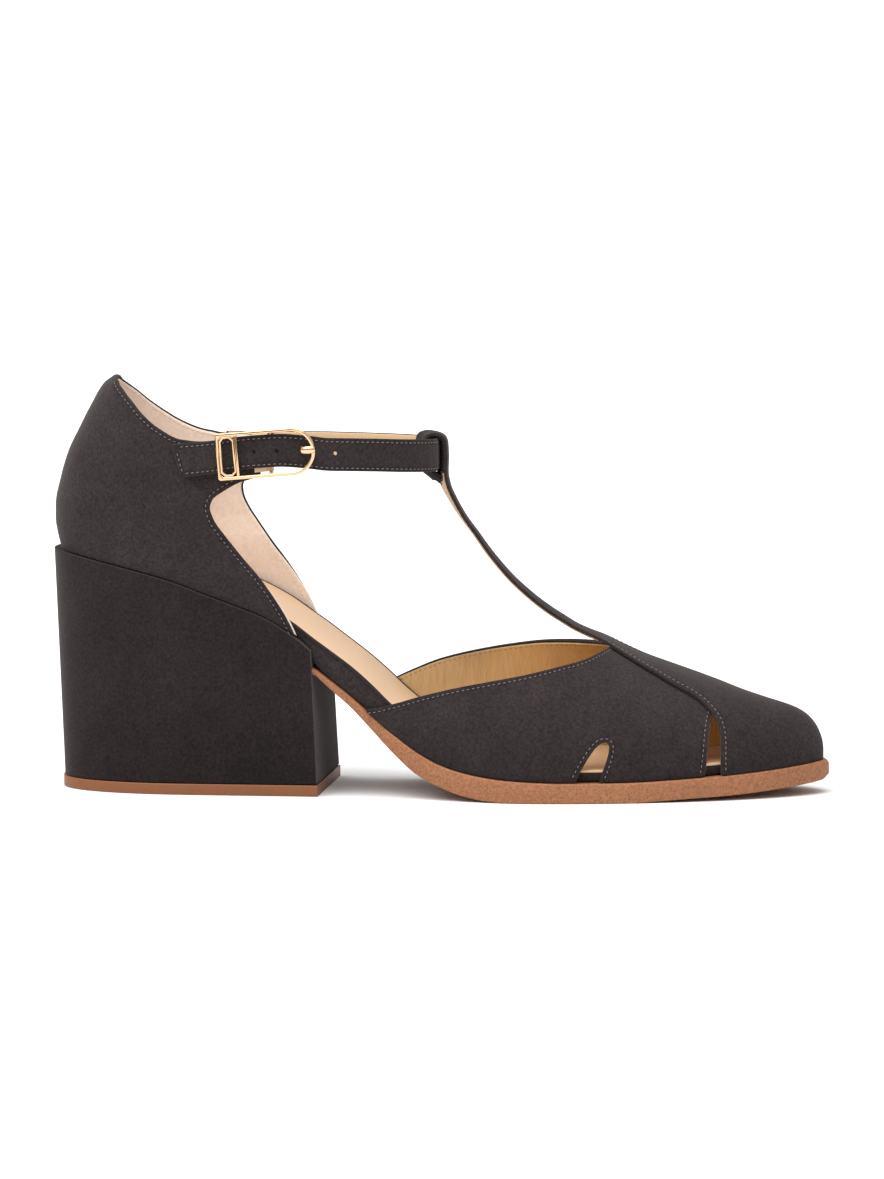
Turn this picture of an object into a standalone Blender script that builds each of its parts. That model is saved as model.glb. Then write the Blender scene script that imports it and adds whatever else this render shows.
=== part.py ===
"""A right-foot t strap pump with open sides, built as its maker puts it together.

The heel's rear is at x = 0, the toe tip of the sole at x = SHOE_LENGTH, the floor at z = 0, and the
buckle side (lateral) faces -y. The tables and functions work in millimetres in that design frame.
to_frame moves a point to the middle of the shoe's box and to metres.
"""

import math

import bmesh
import bpy
from mathutils import Vector

# Driving sizes, in millimetres
SHOE_LENGTH = 245.0
HEEL_REAR_X = 0.5
BALL_LATERAL_X = 152.0
BALL_MEDIAL_X = 168.0
BALL_LATERAL_Y = -37.2
BALL_MEDIAL_Y = 37.6
WIDEST_HEEL_X = 46.0
HEEL_ROUNDNESS = 2.4
TOE_TIP_X = 241.8
TOE_TIP_Y = 3.0
TOE_FULLNESS = 1.6
TOE_POINT = 0.6
SOLE_MARGIN = 1.3
SOLE_TOE_MARGIN = SHOE_LENGTH - TOE_TIP_X
GAP = 0.3

# Walls and sheets
VAMP_WALL = 1.6
COUNTER_WALL = 1.8
OVERLAY_WALL = 1.0
OVERLAY_GAP = 0.45
OVERLAY_COLUMNS = 14
STRAP_LEATHER = 1.6
SOCK_SHEET = 0.8
ANKLE_STRAP_WALL = 2.0
ANKLE_STRAP_WIDTH = 10.4

# The toe box: a sloping top line that rounds down to the tip
CAP_START_X = 220.0
TIP_HEIGHT = 3.0
CAP_POWER = 6.8
CAP_ROOT = 0.6
SECTION_POWER = 0.93

# The heel block and its top piece
BREAST_X = 87.1
BREAST_SLOPE = 0.05
HEEL_BACK_BOTTOM_X = 3.5
TOP_PIECE = 3.5
BLOCK_BOTTOM_Z = TOP_PIECE + GAP
BLOCK_BOTTOM_HALF = 27.4
BLOCK_STANDS_PROUD = 1.4
BLOCK_LEVELS = 4

# Where the seat on the heel ends and the waist of the sole begins
SEAT_END_X = 85.2
SEAT_LEAN = 0.965
WAIST_X = 120.0
WAIST_RUN = 16.0
WAIST_LOSS = 2.2

# The insole board under the sock
BOARD_DEPTH = 4.6
BOARD_CLEARANCE = 1.5

# Chamfers that break the edges of the flat pieces, and how far the top piece stands out
SOLE_CHAMFER = 0.5
BOARD_CHAMFER = 0.4
SOCK_CHAMFER = 0.2
TOP_PIECE_CHAMFER = 0.35
TOP_PIECE_GROWS = 0.35

# The throat, where the vamp's two toplines meet under the strap
THROAT_STARTS_X = 174.5
THROAT_X = 178.5

SIDES = (-1, 1)
FRAME_X = (HEEL_REAR_X + SHOE_LENGTH) / 2
FRAME_Y = (BALL_MEDIAL_Y + BALL_LATERAL_Y) / 2
MM = 0.001


class Table:
    """Rows of sizes with named columns, read anywhere on a smooth curve that never overshoots."""

    def __init__(self, columns, *rows):
        self.columns = columns.split()
        self.rows = rows
        self.stations = [row[0] for row in rows]

    def column(self, name):
        return [row[self.columns.index(name)] for row in self.rows]

    def __call__(self, name, station):
        xs = self.stations
        ys = self.column(name)
        if station <= xs[0]:
            return ys[0]
        if station >= xs[-1]:
            return ys[-1]
        left = max(i for i in range(len(xs) - 1) if xs[i] <= station)
        span = xs[left + 1] - xs[left]
        t = (station - xs[left]) / span
        start, end = self.slope(xs, ys, left), self.slope(xs, ys, left + 1)
        return (
            (2 * t**3 - 3 * t**2 + 1) * ys[left]
            + (t**3 - 2 * t**2 + t) * span * start
            + (3 * t**2 - 2 * t**3) * ys[left + 1]
            + (t**3 - t**2) * span * end
        )

    @staticmethod
    def slope(xs, ys, i):
        steps = [
            (ys[k + 1] - ys[k]) / (xs[k + 1] - xs[k])
            for k in (i - 1, i)
            if 0 <= k < len(xs) - 1
        ]
        if len(steps) == 1:
            return steps[0]
        before, after = steps
        return 0.0 if before * after <= 0 else 2 * before * after / (before + after)


# Half widths of the upper at its lower edge, from the widest part of the heel to the ball
PLAN = Table(
    "x lateral medial",
    (46, -29.5, 29.0),
    (60, -29.0, 28.0),
    (72, -28.0, 26.0),
    (85, -26.9, 23.8),
    (98, -26.6, 22.6),
    (110, -28.2, 23.0),
    (122, -31.3, 25.3),
    (136, -35.0, 29.8),
    (152, -37.2, 35.0),
    (168, -37.2, 37.6),
    (176, -37.2, 37.6),
)

# Upper and lower faces of the outsole, with the flat spot under the ball
SOLE = Table(
    "x top bottom",
    (86, 40.0, 38.2),
    (91, 36.2, 33.6),
    (97.4, 31.2, 28.0),
    (103.6, 25.9, 21.6),
    (111, 20.0, 14.2),
    (118.6, 14.8, 8.0),
    (126.3, 11.0, 4.2),
    (134, 8.8, 1.7),
    (141.6, 7.5, 0.4),
    (149, 6.8, 0.0),
    (165, 6.2, 0.0),
    (184, 6.3, 0.0),
    (199.4, 6.9, 0.8),
    (219, 8.1, 1.8),
    (230, 9.0, 2.8),
    (238, 9.8, 3.7),
    (243.3, 10.3, 4.5),
    (245, 9.3, 6.0),
)

# Top of the sock lining and top of the heel block, along the foot
FOOTBED = Table(
    "x sock block",
    (0, 79.4, 75.6),
    (11.3, 77.9, 73.8),
    (21.8, 75.9, 71.7),
    (32.7, 73.3, 69.2),
    (42.4, 70.5, 66.5),
    (50.7, 67.4, 63.3),
    (61.6, 63.4, 59.3),
    (71.2, 58.9, 55.3),
    (79.5, 53.6, 50.0),
    (82.6, 51.4, 47.6),
    (84.4, 50.1, 45.0),
    (85.2, 49.5, 42.4),
    (91.1, 45.2, 36.0),
    (97.3, 40.6, 31.0),
    (103.6, 35.2, 26.0),
    (110, 29.2, 20.7),
    (118, 22.9, 15.0),
    (126, 18.2, 11.0),
    (134, 15.0, 8.8),
    (142, 12.8, 7.5),
    (150, 11.3, 6.8),
    (165, 10.2, 6.2),
    (182, 10.1, 6.3),
    (195, 10.7, 6.8),
    (208, 11.4, 7.4),
    (222, 12.2, 8.3),
    (240, 13.8, 10.0),
)

# Line of the last over the instep. Behind the throat it is open, and only shapes the sides.
INSTEP = Table(
    "x z",
    (98, 93),
    (115, 84),
    (130, 74.5),
    (145, 64.5),
    (160, 55),
    (170, 49.6),
    (177, 46.1),
    (187, 41.7),
    (195, 38.9),
    (202, 36.5),
    (210, 33.6),
    (217, 30.9),
    (225, 28.3),
    (233, 26.0),
    (241.8, 23.6),
)

# Open edge of the vamp on each side
TOPLINE = Table(
    "x lateral medial",
    (100.2, 28.0, 29.6),
    (102.4, 27.6, 30.8),
    (110.4, 29.3, 34.8),
    (120.7, 32.4, 38.9),
    (132, 35.3, 41.6),
    (143, 37.5, 43.5),
    (154, 39.6, 44.9),
    (162, 41.4, 45.4),
    (169.6, 43.1, 45.7),
    (174.5, 45.0, 46.1),
)
VAMP_BACK_X = (102.4, 100.2)

# Rows of the toe panel: where each row crosses the ridge, and where and at what angle it ends
PANEL = (
    # ridge_x, edge_x, edge_angle
    (181.5, 180.5, 76.0),
    (187.5, 186.0, 71.5),
    (193.5, 191.5, 66.5),
    (199.5, 197.0, 61.0),
    (205.5, 202.4, 56.5),
    (210.5, 206.4, 51.0),
    (214.5, 209.2, 44.5),
    (217.5, 211.1, 37.5),
    (220.0, 212.1, 30.0),
    (222.5, 212.5, 22.0),
    (225.0, 212.6, 11.5),
    (227.5, 212.7, 0.0),
    (229.7, 217.5, 0.0),
    (232.0, 222.5, 0.0),
    (234.2, 227.5, 0.0),
    (236.5, 232.5, 0.0),
    (238.5, 236.4, 0.0),
    (240.1, 239.1, 0.0),
    (241.2, 240.9, 0.0),
    (241.6, 241.5, 0.0),
    (241.8, 241.8, 0.0),
)

# Middle of the t strap's outer face from the throat up, over the ankle strap and down behind it
T_STRAP = (
    # x, y, z, half_width, turn, crown
    (173.6, 0.6, 49.3, 6.6, 0, 0.45),
    (170.0, 0.8, 50.7, 5.6, 0, 0.5),
    (166.0, 1.1, 52.5, 5.1, 1, 0.6),
    (162.0, 1.3, 54.9, 5.0, 1, 0.7),
    (158.0, 1.6, 57.4, 5.0, 2, 0.8),
    (154.0, 1.9, 60.2, 5.0, 3, 0.8),
    (150.0, 2.2, 63.4, 5.0, 4, 0.8),
    (146.0, 2.5, 67.0, 5.0, 5, 0.8),
    (142.0, 2.8, 71.3, 5.0, 6, 0.8),
    (138.2, 3.1, 75.9, 5.1, 7, 0.8),
    (134.5, 3.5, 80.9, 5.4, 9, 0.8),
    (130.6, 3.9, 86.1, 5.9, 11, 0.9),
    (127.3, 4.3, 91.7, 6.3, 13, 1.1),
    (125.3, 4.6, 96.2, 6.6, 15, 1.4),
    (124.6, 4.8, 100.0, 6.8, 16, 1.6),
    (124.7, 4.9, 104.5, 6.8, 16, 1.6),
    (124.5, 4.9, 108.9, 6.8, 16, 1.6),
    (123.4, 4.9, 111.7, 6.8, 16, 1.6),
    (120.8, 4.9, 113.0, 6.8, 16, 1.6),
    (118.2, 4.9, 112.1, 6.8, 16, 1.6),
    (117.0, 4.9, 109.6, 6.8, 16, 1.6),
    (116.9, 4.9, 106.0, 6.8, 16, 1.6),
    (116.9, 4.9, 102.4, 6.8, 16, 1.6),
    (117.2, 4.9, 99.9, 6.8, 16, 1.6),
    (118.4, 4.9, 98.2, 6.8, 16, 1.6),
    (120.0, 4.8, 97.0, 6.7, 16, 1.5),
    (121.6, 4.7, 95.7, 6.5, 16, 1.4),
)
LOOP_FIRST_ROW = 14

# Height of the back of the upper above the floor, and how its sides lean in
BACK = Table(
    "z x lean",
    (45, 3.2, 0.955),
    (60, 3.0, 0.96),
    (75.6, 2.5, 0.965),
    (80.4, 1.5, 0.98),
    (84.5, 0.9, 0.99),
    (88.9, 0.9, 0.99),
    (97.8, 2.6, 0.965),
    (105.8, 5.0, 0.945),
    (113.7, 8.8, 0.925),
    (121, 12.6, 0.91),
    (127.4, 16.5, 0.90),
    (129.9, 19.8, 0.90),
)

# Collar and wings of the heel counter. A turn of 90 is the widest part of the heel.
COLLAR = Table(
    "turn lateral medial",
    (0, 129.9, 129.9),
    (15, 130.0, 129.2),
    (30, 129.6, 127.3),
    (45, 127.6, 124.5),
    (60, 123.4, 120.2),
    (70, 119.1, 116.9),
    (80, 114.7, 113.4),
    (90, 111.2, 110.6),
    (97, 110.8, 109.8),
    (105, 111.1, 109.6),
    (130, 112.0, 110.0),
)
WING = Table(
    "z lateral medial",
    (48, 81.0, 82.6),
    (53.9, 78.4, 80.0),
    (59.6, 75.2, 77.2),
    (68.4, 69.1, 71.4),
    (75.3, 63.3, 66.0),
    (81.4, 58.5, 61.5),
    (86.7, 54.9, 58.0),
    (90.2, 53.8, 56.5),
    (92.7, 54.6, 56.2),
    (95.5, 58.2, 57.5),
    (98.0, 62.8, 61.0),
    (99.8, 68.4, 66.0),
    (101.0, 69.6, 66.5),
    (112, 69.6, 66.5),
)
TURN_PER_MM = 1.6
WING_FOOT_Z = 49.6
WING_TOP_Z = 111.0
BLOCK_REAR_Z = 75.6
COUNTER_ROWS = 12
COUNTER_COLUMNS = 13

# Middle of the ankle strap from its lap on the medial wing, round the front, to its tail
ANKLE_STRAP = (
    # x, y, z
    (50.5, 29.0, 105.0),
    (58.0, 28.9, 105.0),
    (66.0, 28.8, 105.0),
    (75.0, 28.2, 105.1),
    (84.0, 26.7, 105.2),
    (93.0, 24.4, 105.2),
    (101.0, 21.9, 105.2),
    (107.6, 19.1, 105.2),
    (113.2, 15.5, 105.2),
    (117.3, 11.3, 105.2),
    (119.9, 6.8, 105.2),
    (121.2, 1.9, 105.3),
    (121.2, -3.4, 105.4),
    (119.7, -8.6, 105.6),
    (116.6, -13.6, 105.9),
    (111.8, -18.0, 106.2),
    (105.5, -22.0, 106.6),
    (98.5, -25.4, 106.9),
    (91.0, -28.6, 107.2),
    (84.0, -31.0, 107.6),
    (77.0, -32.0, 107.8),
    (70.0, -31.9, 107.4),
    (63.0, -31.5, 106.8),
    (57.0, -30.9, 106.2),
    (51.0, -30.2, 105.7),
)
TAIL_TOP_X = 41.9
TAIL_BOTTOM_X = 45.1
TAIL_Y = -29.9
TAIL_Z = 105.0

# The buckle, in its own plane: along the strap, and across it
BUCKLE_LEFT_X = 57.6
BUCKLE_MIDDLE_Z = 106.4
BUCKLE_Y = -34.1
BUCKLE_TILT = 5.0
BUCKLE_LENGTH = 29.4
BUCKLE_HEIGHT = 13.2
BUCKLE_END_RADIUS = 6.2
WIRE_RADIUS = 0.75
KEEPER_WIDTH = 5.6
PIVOT_ALONG = 15.2
PIVOT_Y = -28.75
PIVOT_RADIUS = 0.6
PRONG_RADIUS = 0.8
PRONG_RISE_ALONG = 25.6
HOLE_RADIUS = 1.7


def to_frame(x, y, z):
    """A point of the design frame, in metres about the middle of the shoe's box."""
    return Vector((x - FRAME_X, y - FRAME_Y, z)) * MM


def side_name(side):
    return "lateral" if side < 0 else "medial"


def toe_taper(u):
    """Share of the ball's half width that is left at u, from 0 at the ball to 1 at the tip."""
    return (1 - max(0.0, min(1.0, u)) ** TOE_FULLNESS) ** TOE_POINT


def back_taper(x, rear):
    """Share of the heel's half width at x, behind the widest part."""
    u = min(1.0, max(0.0, (WIDEST_HEEL_X - x) / (WIDEST_HEEL_X - rear)))
    return (1 - u**HEEL_ROUNDNESS) ** (1 / HEEL_ROUNDNESS)


def outline(side, x, grow=0.0, toe_grow=None, rear=0.0):
    """The y of one side of the plan outline at x, grown outwards by grow."""
    tip = TOE_TIP_X + (grow if toe_grow is None else toe_grow)
    ball_x, ball_y = (
        (BALL_LATERAL_X, BALL_LATERAL_Y) if side < 0 else (BALL_MEDIAL_X, BALL_MEDIAL_Y)
    )
    if x < WIDEST_HEEL_X:
        widest = PLAN(side_name(side), WIDEST_HEEL_X) + side * grow
        return widest * back_taper(x, rear)
    if x <= ball_x:
        return PLAN(side_name(side), x) + side * grow
    u = (x - ball_x) / (tip - ball_x)
    middle = TOE_TIP_Y * u**2
    return middle + (ball_y + side * grow - TOE_TIP_Y * u**2 * (1 - u)) * toe_taper(u)


def instep_height(x, foot):
    """Height of the last's ridge over its lower edge, rounded down at the toe."""
    height = INSTEP("z", x) - foot
    if x <= CAP_START_X:
        return height
    u = min(1.0, (x - CAP_START_X) / (TOE_TIP_X - CAP_START_X))
    return TIP_HEIGHT + (height - TIP_HEIGHT) * (1 - u**CAP_POWER) ** CAP_ROOT


def lower_edge(x):
    return SOLE("top", x) + GAP


def last_point(x, angle):
    """Outer face of the front of the upper: angle runs from 0 (lateral) over 90 to 180 (medial)."""
    turn = math.radians(angle)
    side = -1 if angle <= 90 else 1
    across = abs(math.cos(turn)) ** SECTION_POWER
    up = max(0.0, math.sin(turn)) ** SECTION_POWER
    u = max(0.0, (x - BALL_LATERAL_X) / (TOE_TIP_X - BALL_LATERAL_X))
    middle = TOE_TIP_Y * min(1.0, u) ** 2
    foot = lower_edge(x)
    y = middle + (outline(side, x) - middle) * across
    return Vector((x, y, foot + instep_height(x, foot) * up))


def last_normal(x, angle):
    """Outward direction of the last at a point, from its neighbours on the surface."""
    x = min(x, TOE_TIP_X - 0.03)
    step = min(0.5, (TOE_TIP_X - x) / 2)
    low, high = max(0.0, angle - 1.0), min(180.0, angle + 1.0)
    along = last_point(x + step, angle) - last_point(x - step, angle)
    over = last_point(x, high) - last_point(x, low)
    return over.cross(along).normalized() * -1


def topline_angle(side, x):
    """Section angle at which the vamp's open edge lies. At the throat it closes up to the ridge."""
    behind = min(x, THROAT_STARTS_X)
    foot = lower_edge(behind)
    share = (TOPLINE(side_name(side), behind) - foot) / (INSTEP("z", behind) - foot)
    angle = math.degrees(math.asin(min(1.0, share) ** (1 / SECTION_POWER)))
    closing = max(0.0, min(1.0, (x - THROAT_STARTS_X) / (THROAT_X - THROAT_STARTS_X)))
    return angle + (90.0 - angle) * closing


def counter_point(turn, z, side, inset=0.0):
    """Outer face of the heel counter: turn is 0 at the back seam and 90 at the widest part."""
    rear = BACK("x", z) + inset
    lean = BACK("lean", z)
    if turn <= 90:
        phi = math.radians(turn)
        x = WIDEST_HEEL_X - (WIDEST_HEEL_X - rear) * math.cos(phi) ** (2 / HEEL_ROUNDNESS)
        share = math.sin(phi) ** (2 / HEEL_ROUNDNESS)
        y = (PLAN(side_name(side), WIDEST_HEEL_X) * lean - side * inset) * share
        return Vector((x, y, z))
    x = WIDEST_HEEL_X + (turn - 90) / TURN_PER_MM
    return Vector((x, PLAN(side_name(side), x) * lean - side * inset, z))


def turn_at(x, z):
    """The turn of the counter's plan curve at x, the reverse of counter_point."""
    if x >= WIDEST_HEEL_X:
        return 90 + (x - WIDEST_HEEL_X) * TURN_PER_MM
    share = (WIDEST_HEEL_X - x) / (WIDEST_HEEL_X - BACK("x", z))
    return math.degrees(math.acos(max(0.0, min(1.0, share)) ** (HEEL_ROUNDNESS / 2)))


def seat(x):
    return FOOTBED("block", x) + GAP


def empty_scene():
    for obj in list(bpy.data.objects):
        bpy.data.objects.remove(obj, do_unlink=True)


def new_collection(name):
    collection = bpy.data.collections.new(name)
    bpy.context.scene.collection.children.link(collection)
    return collection


def new_material(name, colour, roughness, metallic=0.0):
    """A plain Principled material. The colour is sRGB hex."""
    material = bpy.data.materials.new(name)
    material.use_nodes = True
    shader = material.node_tree.nodes["Principled BSDF"]
    channels = [int(colour[i : i + 2], 16) / 255 for i in (1, 3, 5)]
    linear = [((c + 0.055) / 1.055) ** 2.4 if c > 0.04 else c / 12.92 for c in channels]
    shader.inputs["Base Color"].default_value = (*linear, 1.0)
    shader.inputs["Roughness"].default_value = roughness
    shader.inputs["Metallic"].default_value = metallic
    return material


def add_object(name, mesh, collection, material=None):
    obj = bpy.data.objects.new(name, mesh)
    collection.objects.link(obj)
    if material:
        mesh.materials.append(material)
    return obj


def finish_mesh(bm, name, sharp=35):
    """Merges what coincides, turns the faces outwards and shades the round parts smooth."""
    bmesh.ops.remove_doubles(bm, verts=bm.verts, dist=0.02 * MM)
    bmesh.ops.dissolve_degenerate(bm, edges=bm.edges, dist=0.001 * MM)
    bmesh.ops.recalc_face_normals(bm, faces=bm.faces)
    mesh = bpy.data.meshes.new(name)
    bm.to_mesh(mesh)
    bm.free()
    mesh.shade_smooth()
    mesh.set_sharp_from_angle(angle=math.radians(sharp))
    return mesh


def add_grid(bm, rows, closed=False):
    """Quads between neighbouring rows of points, in millimetres of the design frame."""
    grid = [[bm.verts.new(to_frame(*point)) for point in row] for row in rows]
    width = len(rows[0])
    for upper, lower in zip(grid, grid[1:]):
        for j in range(width if closed else width - 1):
            after = (j + 1) % width
            bm.faces.new((upper[j], upper[after], lower[after], lower[j]))
    return grid


def loft(name, sections, sharp=35):
    """A closed solid through closed sections, with a cap at each end."""
    bm = bmesh.new()
    grid = add_grid(bm, sections, closed=True)
    bm.faces.new(grid[0][::-1])
    bm.faces.new(grid[-1])
    return finish_mesh(bm, name, sharp)


def skin(name, outer, inner, sharp=35):
    """A closed sheet between two grids of the same size."""
    bm = bmesh.new()
    front = add_grid(bm, outer)
    back = add_grid(bm, inner)
    last = len(outer[0]) - 1
    edges = [[row[0] for row in grid] for grid in (front, back)]
    far_edges = [[row[last] for row in grid] for grid in (front, back)]
    for one, other in (edges, far_edges, (front[0], back[0]), (front[-1], back[-1])):
        for i in range(len(one) - 1):
            if (one[i].co - other[i].co).length > 0 or (one[i + 1].co - other[i + 1].co).length > 0:
                bm.faces.new((one[i], one[i + 1], other[i + 1], other[i]))
    return finish_mesh(bm, name, sharp)


def stations(start, stop, count, dense_start=False, dense_end=False):
    """Places from start to stop, closer together towards the ends that are marked dense."""
    places = []
    for i in range(count + 1):
        t = i / count
        if dense_start and dense_end:
            t = (1 - math.cos(math.pi * t)) / 2
        elif dense_end:
            t = 1 - (1 - t) ** 2
        elif dense_start:
            t = t**2
        places.append(start + (stop - start) * t)
    return places


def edge_section(x, low, high, left, right, chamfer):
    """A flat bar's section with its four edges broken."""
    chamfer = min(chamfer, (right - left) / 3, (high - low) / 3)
    return [
        (x, left + chamfer, low),
        (x, right - chamfer, low),
        (x, right, low + chamfer),
        (x, right, high - chamfer),
        (x, right - chamfer, high),
        (x, left + chamfer, high),
        (x, left, high - chamfer),
        (x, left, low + chamfer),
    ]


def outsole_mesh():
    breast = BREAST_X - BREAST_SLOPE * SOLE("top", SEAT_END_X) + GAP
    places = stations(breast, BALL_LATERAL_X, 14)
    places += stations(BALL_LATERAL_X, BALL_MEDIAL_X, 3)[1:]
    places += stations(BALL_MEDIAL_X, SHOE_LENGTH, 16, dense_end=True)[1:]
    sections = []
    for x in places:
        waist = max(0.0, min(1.0, (WAIST_X - x) / WAIST_RUN))
        margin = SOLE_MARGIN - WAIST_LOSS * waist
        left = outline(-1, x, margin, SOLE_TOE_MARGIN)
        right = outline(1, x, margin, SOLE_TOE_MARGIN)
        sections.append(edge_section(x, SOLE("bottom", x), SOLE("top", x), left, right, SOLE_CHAMFER))
    return loft("outsole", sections, 28)


def inner_places(inset, start):
    """Stations along the foot inside the upper."""
    tip = TOE_TIP_X - inset
    places = stations(start, WIDEST_HEEL_X, 10, dense_start=True)
    places += stations(WIDEST_HEEL_X, SEAT_END_X - 1.4, 8, dense_end=True)[1:]
    places += [SEAT_END_X - 0.4, SEAT_END_X + 0.4]
    places += stations(SEAT_END_X + 0.4, BALL_LATERAL_X, 13)[1:]
    places += stations(BALL_LATERAL_X, tip, 13, dense_end=True)[1:]
    return places


def rand_inset(x):
    """How far the insole's edge stays inside the upper's outer face."""
    if x < WIDEST_HEEL_X:
        return COUNTER_WALL + BOARD_CLEARANCE
    wall = COUNTER_WALL + BOARD_CLEARANCE if x < SEAT_END_X - 1 else VAMP_WALL
    return wall + 2.5 * GAP


def insole_rand_mesh():
    inset = VAMP_WALL + 2.5 * GAP
    rear = BACK("x", BLOCK_REAR_Z) + COUNTER_WALL + 2 * GAP
    sections = []
    for x in inner_places(inset, rear):
        left = outline(-1, x, -rand_inset(x), -inset, rear)
        right = outline(1, x, -rand_inset(x), -inset, rear)
        low = FOOTBED("block", x) + GAP
        if x < SEAT_END_X:
            low = max(low, FOOTBED("sock", x) - BOARD_DEPTH)
        high = FOOTBED("sock", x) - SOCK_SHEET - 0.8 * GAP
        sections.append(edge_section(x, low, high, left, right, BOARD_CHAMFER))
    return loft("insole_rand", sections, 28)


def sock_mesh():
    inset = VAMP_WALL + 3.5 * GAP
    rear = BACK("x", BLOCK_REAR_Z) + COUNTER_WALL + 3 * GAP
    sections = []
    for x in inner_places(inset, rear):
        left = outline(-1, x, -rand_inset(x) - GAP, -inset, rear)
        right = outline(1, x, -rand_inset(x) - GAP, -inset, rear)
        high = FOOTBED("sock", x)
        sections.append(edge_section(x, high - SOCK_SHEET, high, left, right, SOCK_CHAMFER))
    return loft("sock_lining", sections, 28)


def block_outline(share, level):
    """x and the two y of the heel block at a share of its length and a level from 0 to 1."""
    front_height = FOOTBED("block", SEAT_END_X)
    top_x = HEEL_REAR_X + share * (BREAST_X - BREAST_SLOPE * front_height - HEEL_REAR_X)
    height = BLOCK_BOTTOM_Z + (FOOTBED("block", top_x) - BLOCK_BOTTOM_Z) * level
    front = BREAST_X - BREAST_SLOPE * (BLOCK_BOTTOM_Z + (front_height - BLOCK_BOTTOM_Z) * level)
    rear = HEEL_BACK_BOTTOM_X + (HEEL_REAR_X - HEEL_BACK_BOTTOM_X) * level
    x = rear + share * (front - rear)
    around = back_taper(rear + share * (WIDEST_HEEL_X - rear) * SEAT_END_X / WIDEST_HEEL_X, rear)
    widths = []
    for side in SIDES:
        top = PLAN(side_name(side), max(WIDEST_HEEL_X, x)) * SEAT_LEAN + side * BLOCK_STANDS_PROUD
        half = abs(top) * level + BLOCK_BOTTOM_HALF * (1 - level)
        widths.append(side * half * around)
    return x, height, widths


def heel_block_mesh():
    shares = stations(0.0, 0.54, 9, dense_start=True) + stations(0.54, 1.0, 8, dense_end=True)[1:]
    sections = []
    for share in shares:
        levels = [i / BLOCK_LEVELS for i in range(BLOCK_LEVELS + 1)]
        rows = [block_outline(share, level) for level in levels]
        lateral = [(x, widths[0], z) for x, z, widths in rows]
        medial = [(x, widths[1], z) for x, z, widths in rows]
        sections.append(lateral + medial[::-1])
    return loft("heel_block", sections, 30)


def top_piece_mesh():
    shares = stations(0.0, 0.54, 9, dense_start=True) + [0.7, 0.85, 1.0]
    sections = []
    for share in shares:
        x, _, (left, right) = block_outline(share, 0.0)
        x += TOP_PIECE_GROWS * (2 * share - 1)
        grow = TOP_PIECE_GROWS if share > 0 else 0.0
        sections.append(
            edge_section(x, 0.0, TOP_PIECE, left - grow, right + grow, TOP_PIECE_CHAMFER)
        )
    return loft("heel_top_piece", sections, 30)


def vamp_mesh():
    """The open surface of the vamp: two wings that join at the throat and run on to the toe."""
    half_columns = 9
    fronts = [THROAT_X, 183, 188, 193, 198.5, 204, 209, 214, 218.5, 222.5, 226, 229]
    fronts += [232, 234.7, 237.0, 238.9, 240.2, 241.1, 241.6, TOE_TIP_X]
    bm = bmesh.new()
    for side in SIDES:
        back = VAMP_BACK_X[0] if side < 0 else VAMP_BACK_X[1]
        wing = stations(back, 150, 9) + [157, 163.5, 169.5] + stations(THROAT_STARTS_X, THROAT_X, 4)[:-1]
        rows = []
        for x in wing + fronts:
            top = topline_angle(side, x)
            angles = [top * j / half_columns for j in range(half_columns + 1)]
            if side > 0:
                angles = [180 - angle for angle in angles]
            rows.append([last_point(x, angle) for angle in angles])
        add_grid(bm, rows)
    return finish_mesh(bm, "vamp")


def strap_row(index):
    """Points of the t strap's outer and inner faces at a row of its table."""
    x, y, z, half, turn, crown = T_STRAP[index]
    before = Vector(T_STRAP[max(0, index - 1)][:3])
    after = Vector(T_STRAP[min(len(T_STRAP) - 1, index + 1)][:3])
    across = Vector((-math.sin(math.radians(turn)), math.cos(math.radians(turn)), 0))
    along = (after - before).normalized()
    normal = across.cross(along).normalized()
    forward = Vector((math.cos(math.radians(turn)), math.sin(math.radians(turn)), 0))
    bulge = forward if index >= LOOP_FIRST_ROW else normal
    outer, inner = [], []
    for v in stations(-1, 1, OVERLAY_COLUMNS):
        point = Vector((x, y, z)) + across * (half * v) - bulge * (crown * v * v)
        outer.append(point)
        inner.append(point - normal * STRAP_LEATHER)
    return outer, inner


def panel_row(ridge_x, edge_x, edge_angle):
    """Points of the toe panel's outer and inner faces along one of its rows."""
    outer, inner = [], []
    for v in stations(-1, 1, OVERLAY_COLUMNS):
        x = ridge_x + (edge_x - ridge_x) * v * v
        angle = 90 + (90 - edge_angle) * v
        point, normal = last_point(x, angle), last_normal(x, angle)
        outer.append(point + normal * (OVERLAY_GAP + OVERLAY_WALL))
        inner.append(point + normal * OVERLAY_GAP)
    return outer, inner


def toe_panel_mesh():
    rows = [strap_row(i) for i in reversed(range(len(T_STRAP)))]
    rows += [panel_row(*row) for row in PANEL]
    return skin("toe_panel_t_strap", [row[0] for row in rows], [row[1] for row in rows])


def counter_edges(side):
    """The four edges of one half of the counter, each a function that gives a turn and a height."""
    name = side_name(side)
    low_turn = turn_at(WING(name, WING_FOOT_Z), WING_FOOT_Z)
    top_turn = turn_at(WING(name, WING_TOP_Z), WING_TOP_Z)
    low_z = seat(counter_point(low_turn, WING_FOOT_Z, side).x)
    top_z = COLLAR(name, top_turn)
    heel_z = seat(BACK("x", BLOCK_REAR_Z))

    def bottom(reach):
        turn = low_turn * reach
        return turn, seat(counter_point(turn, BLOCK_REAR_Z, side).x)

    def top(reach):
        return top_turn * reach, COLLAR(name, top_turn * reach)

    def back(rise):
        return 0.0, heel_z + (COLLAR(name, 0) - heel_z) * rise

    def front(rise):
        z = low_z + (top_z - low_z) * rise
        return turn_at(WING(name, z), z), z

    return bottom, top, back, front


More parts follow.
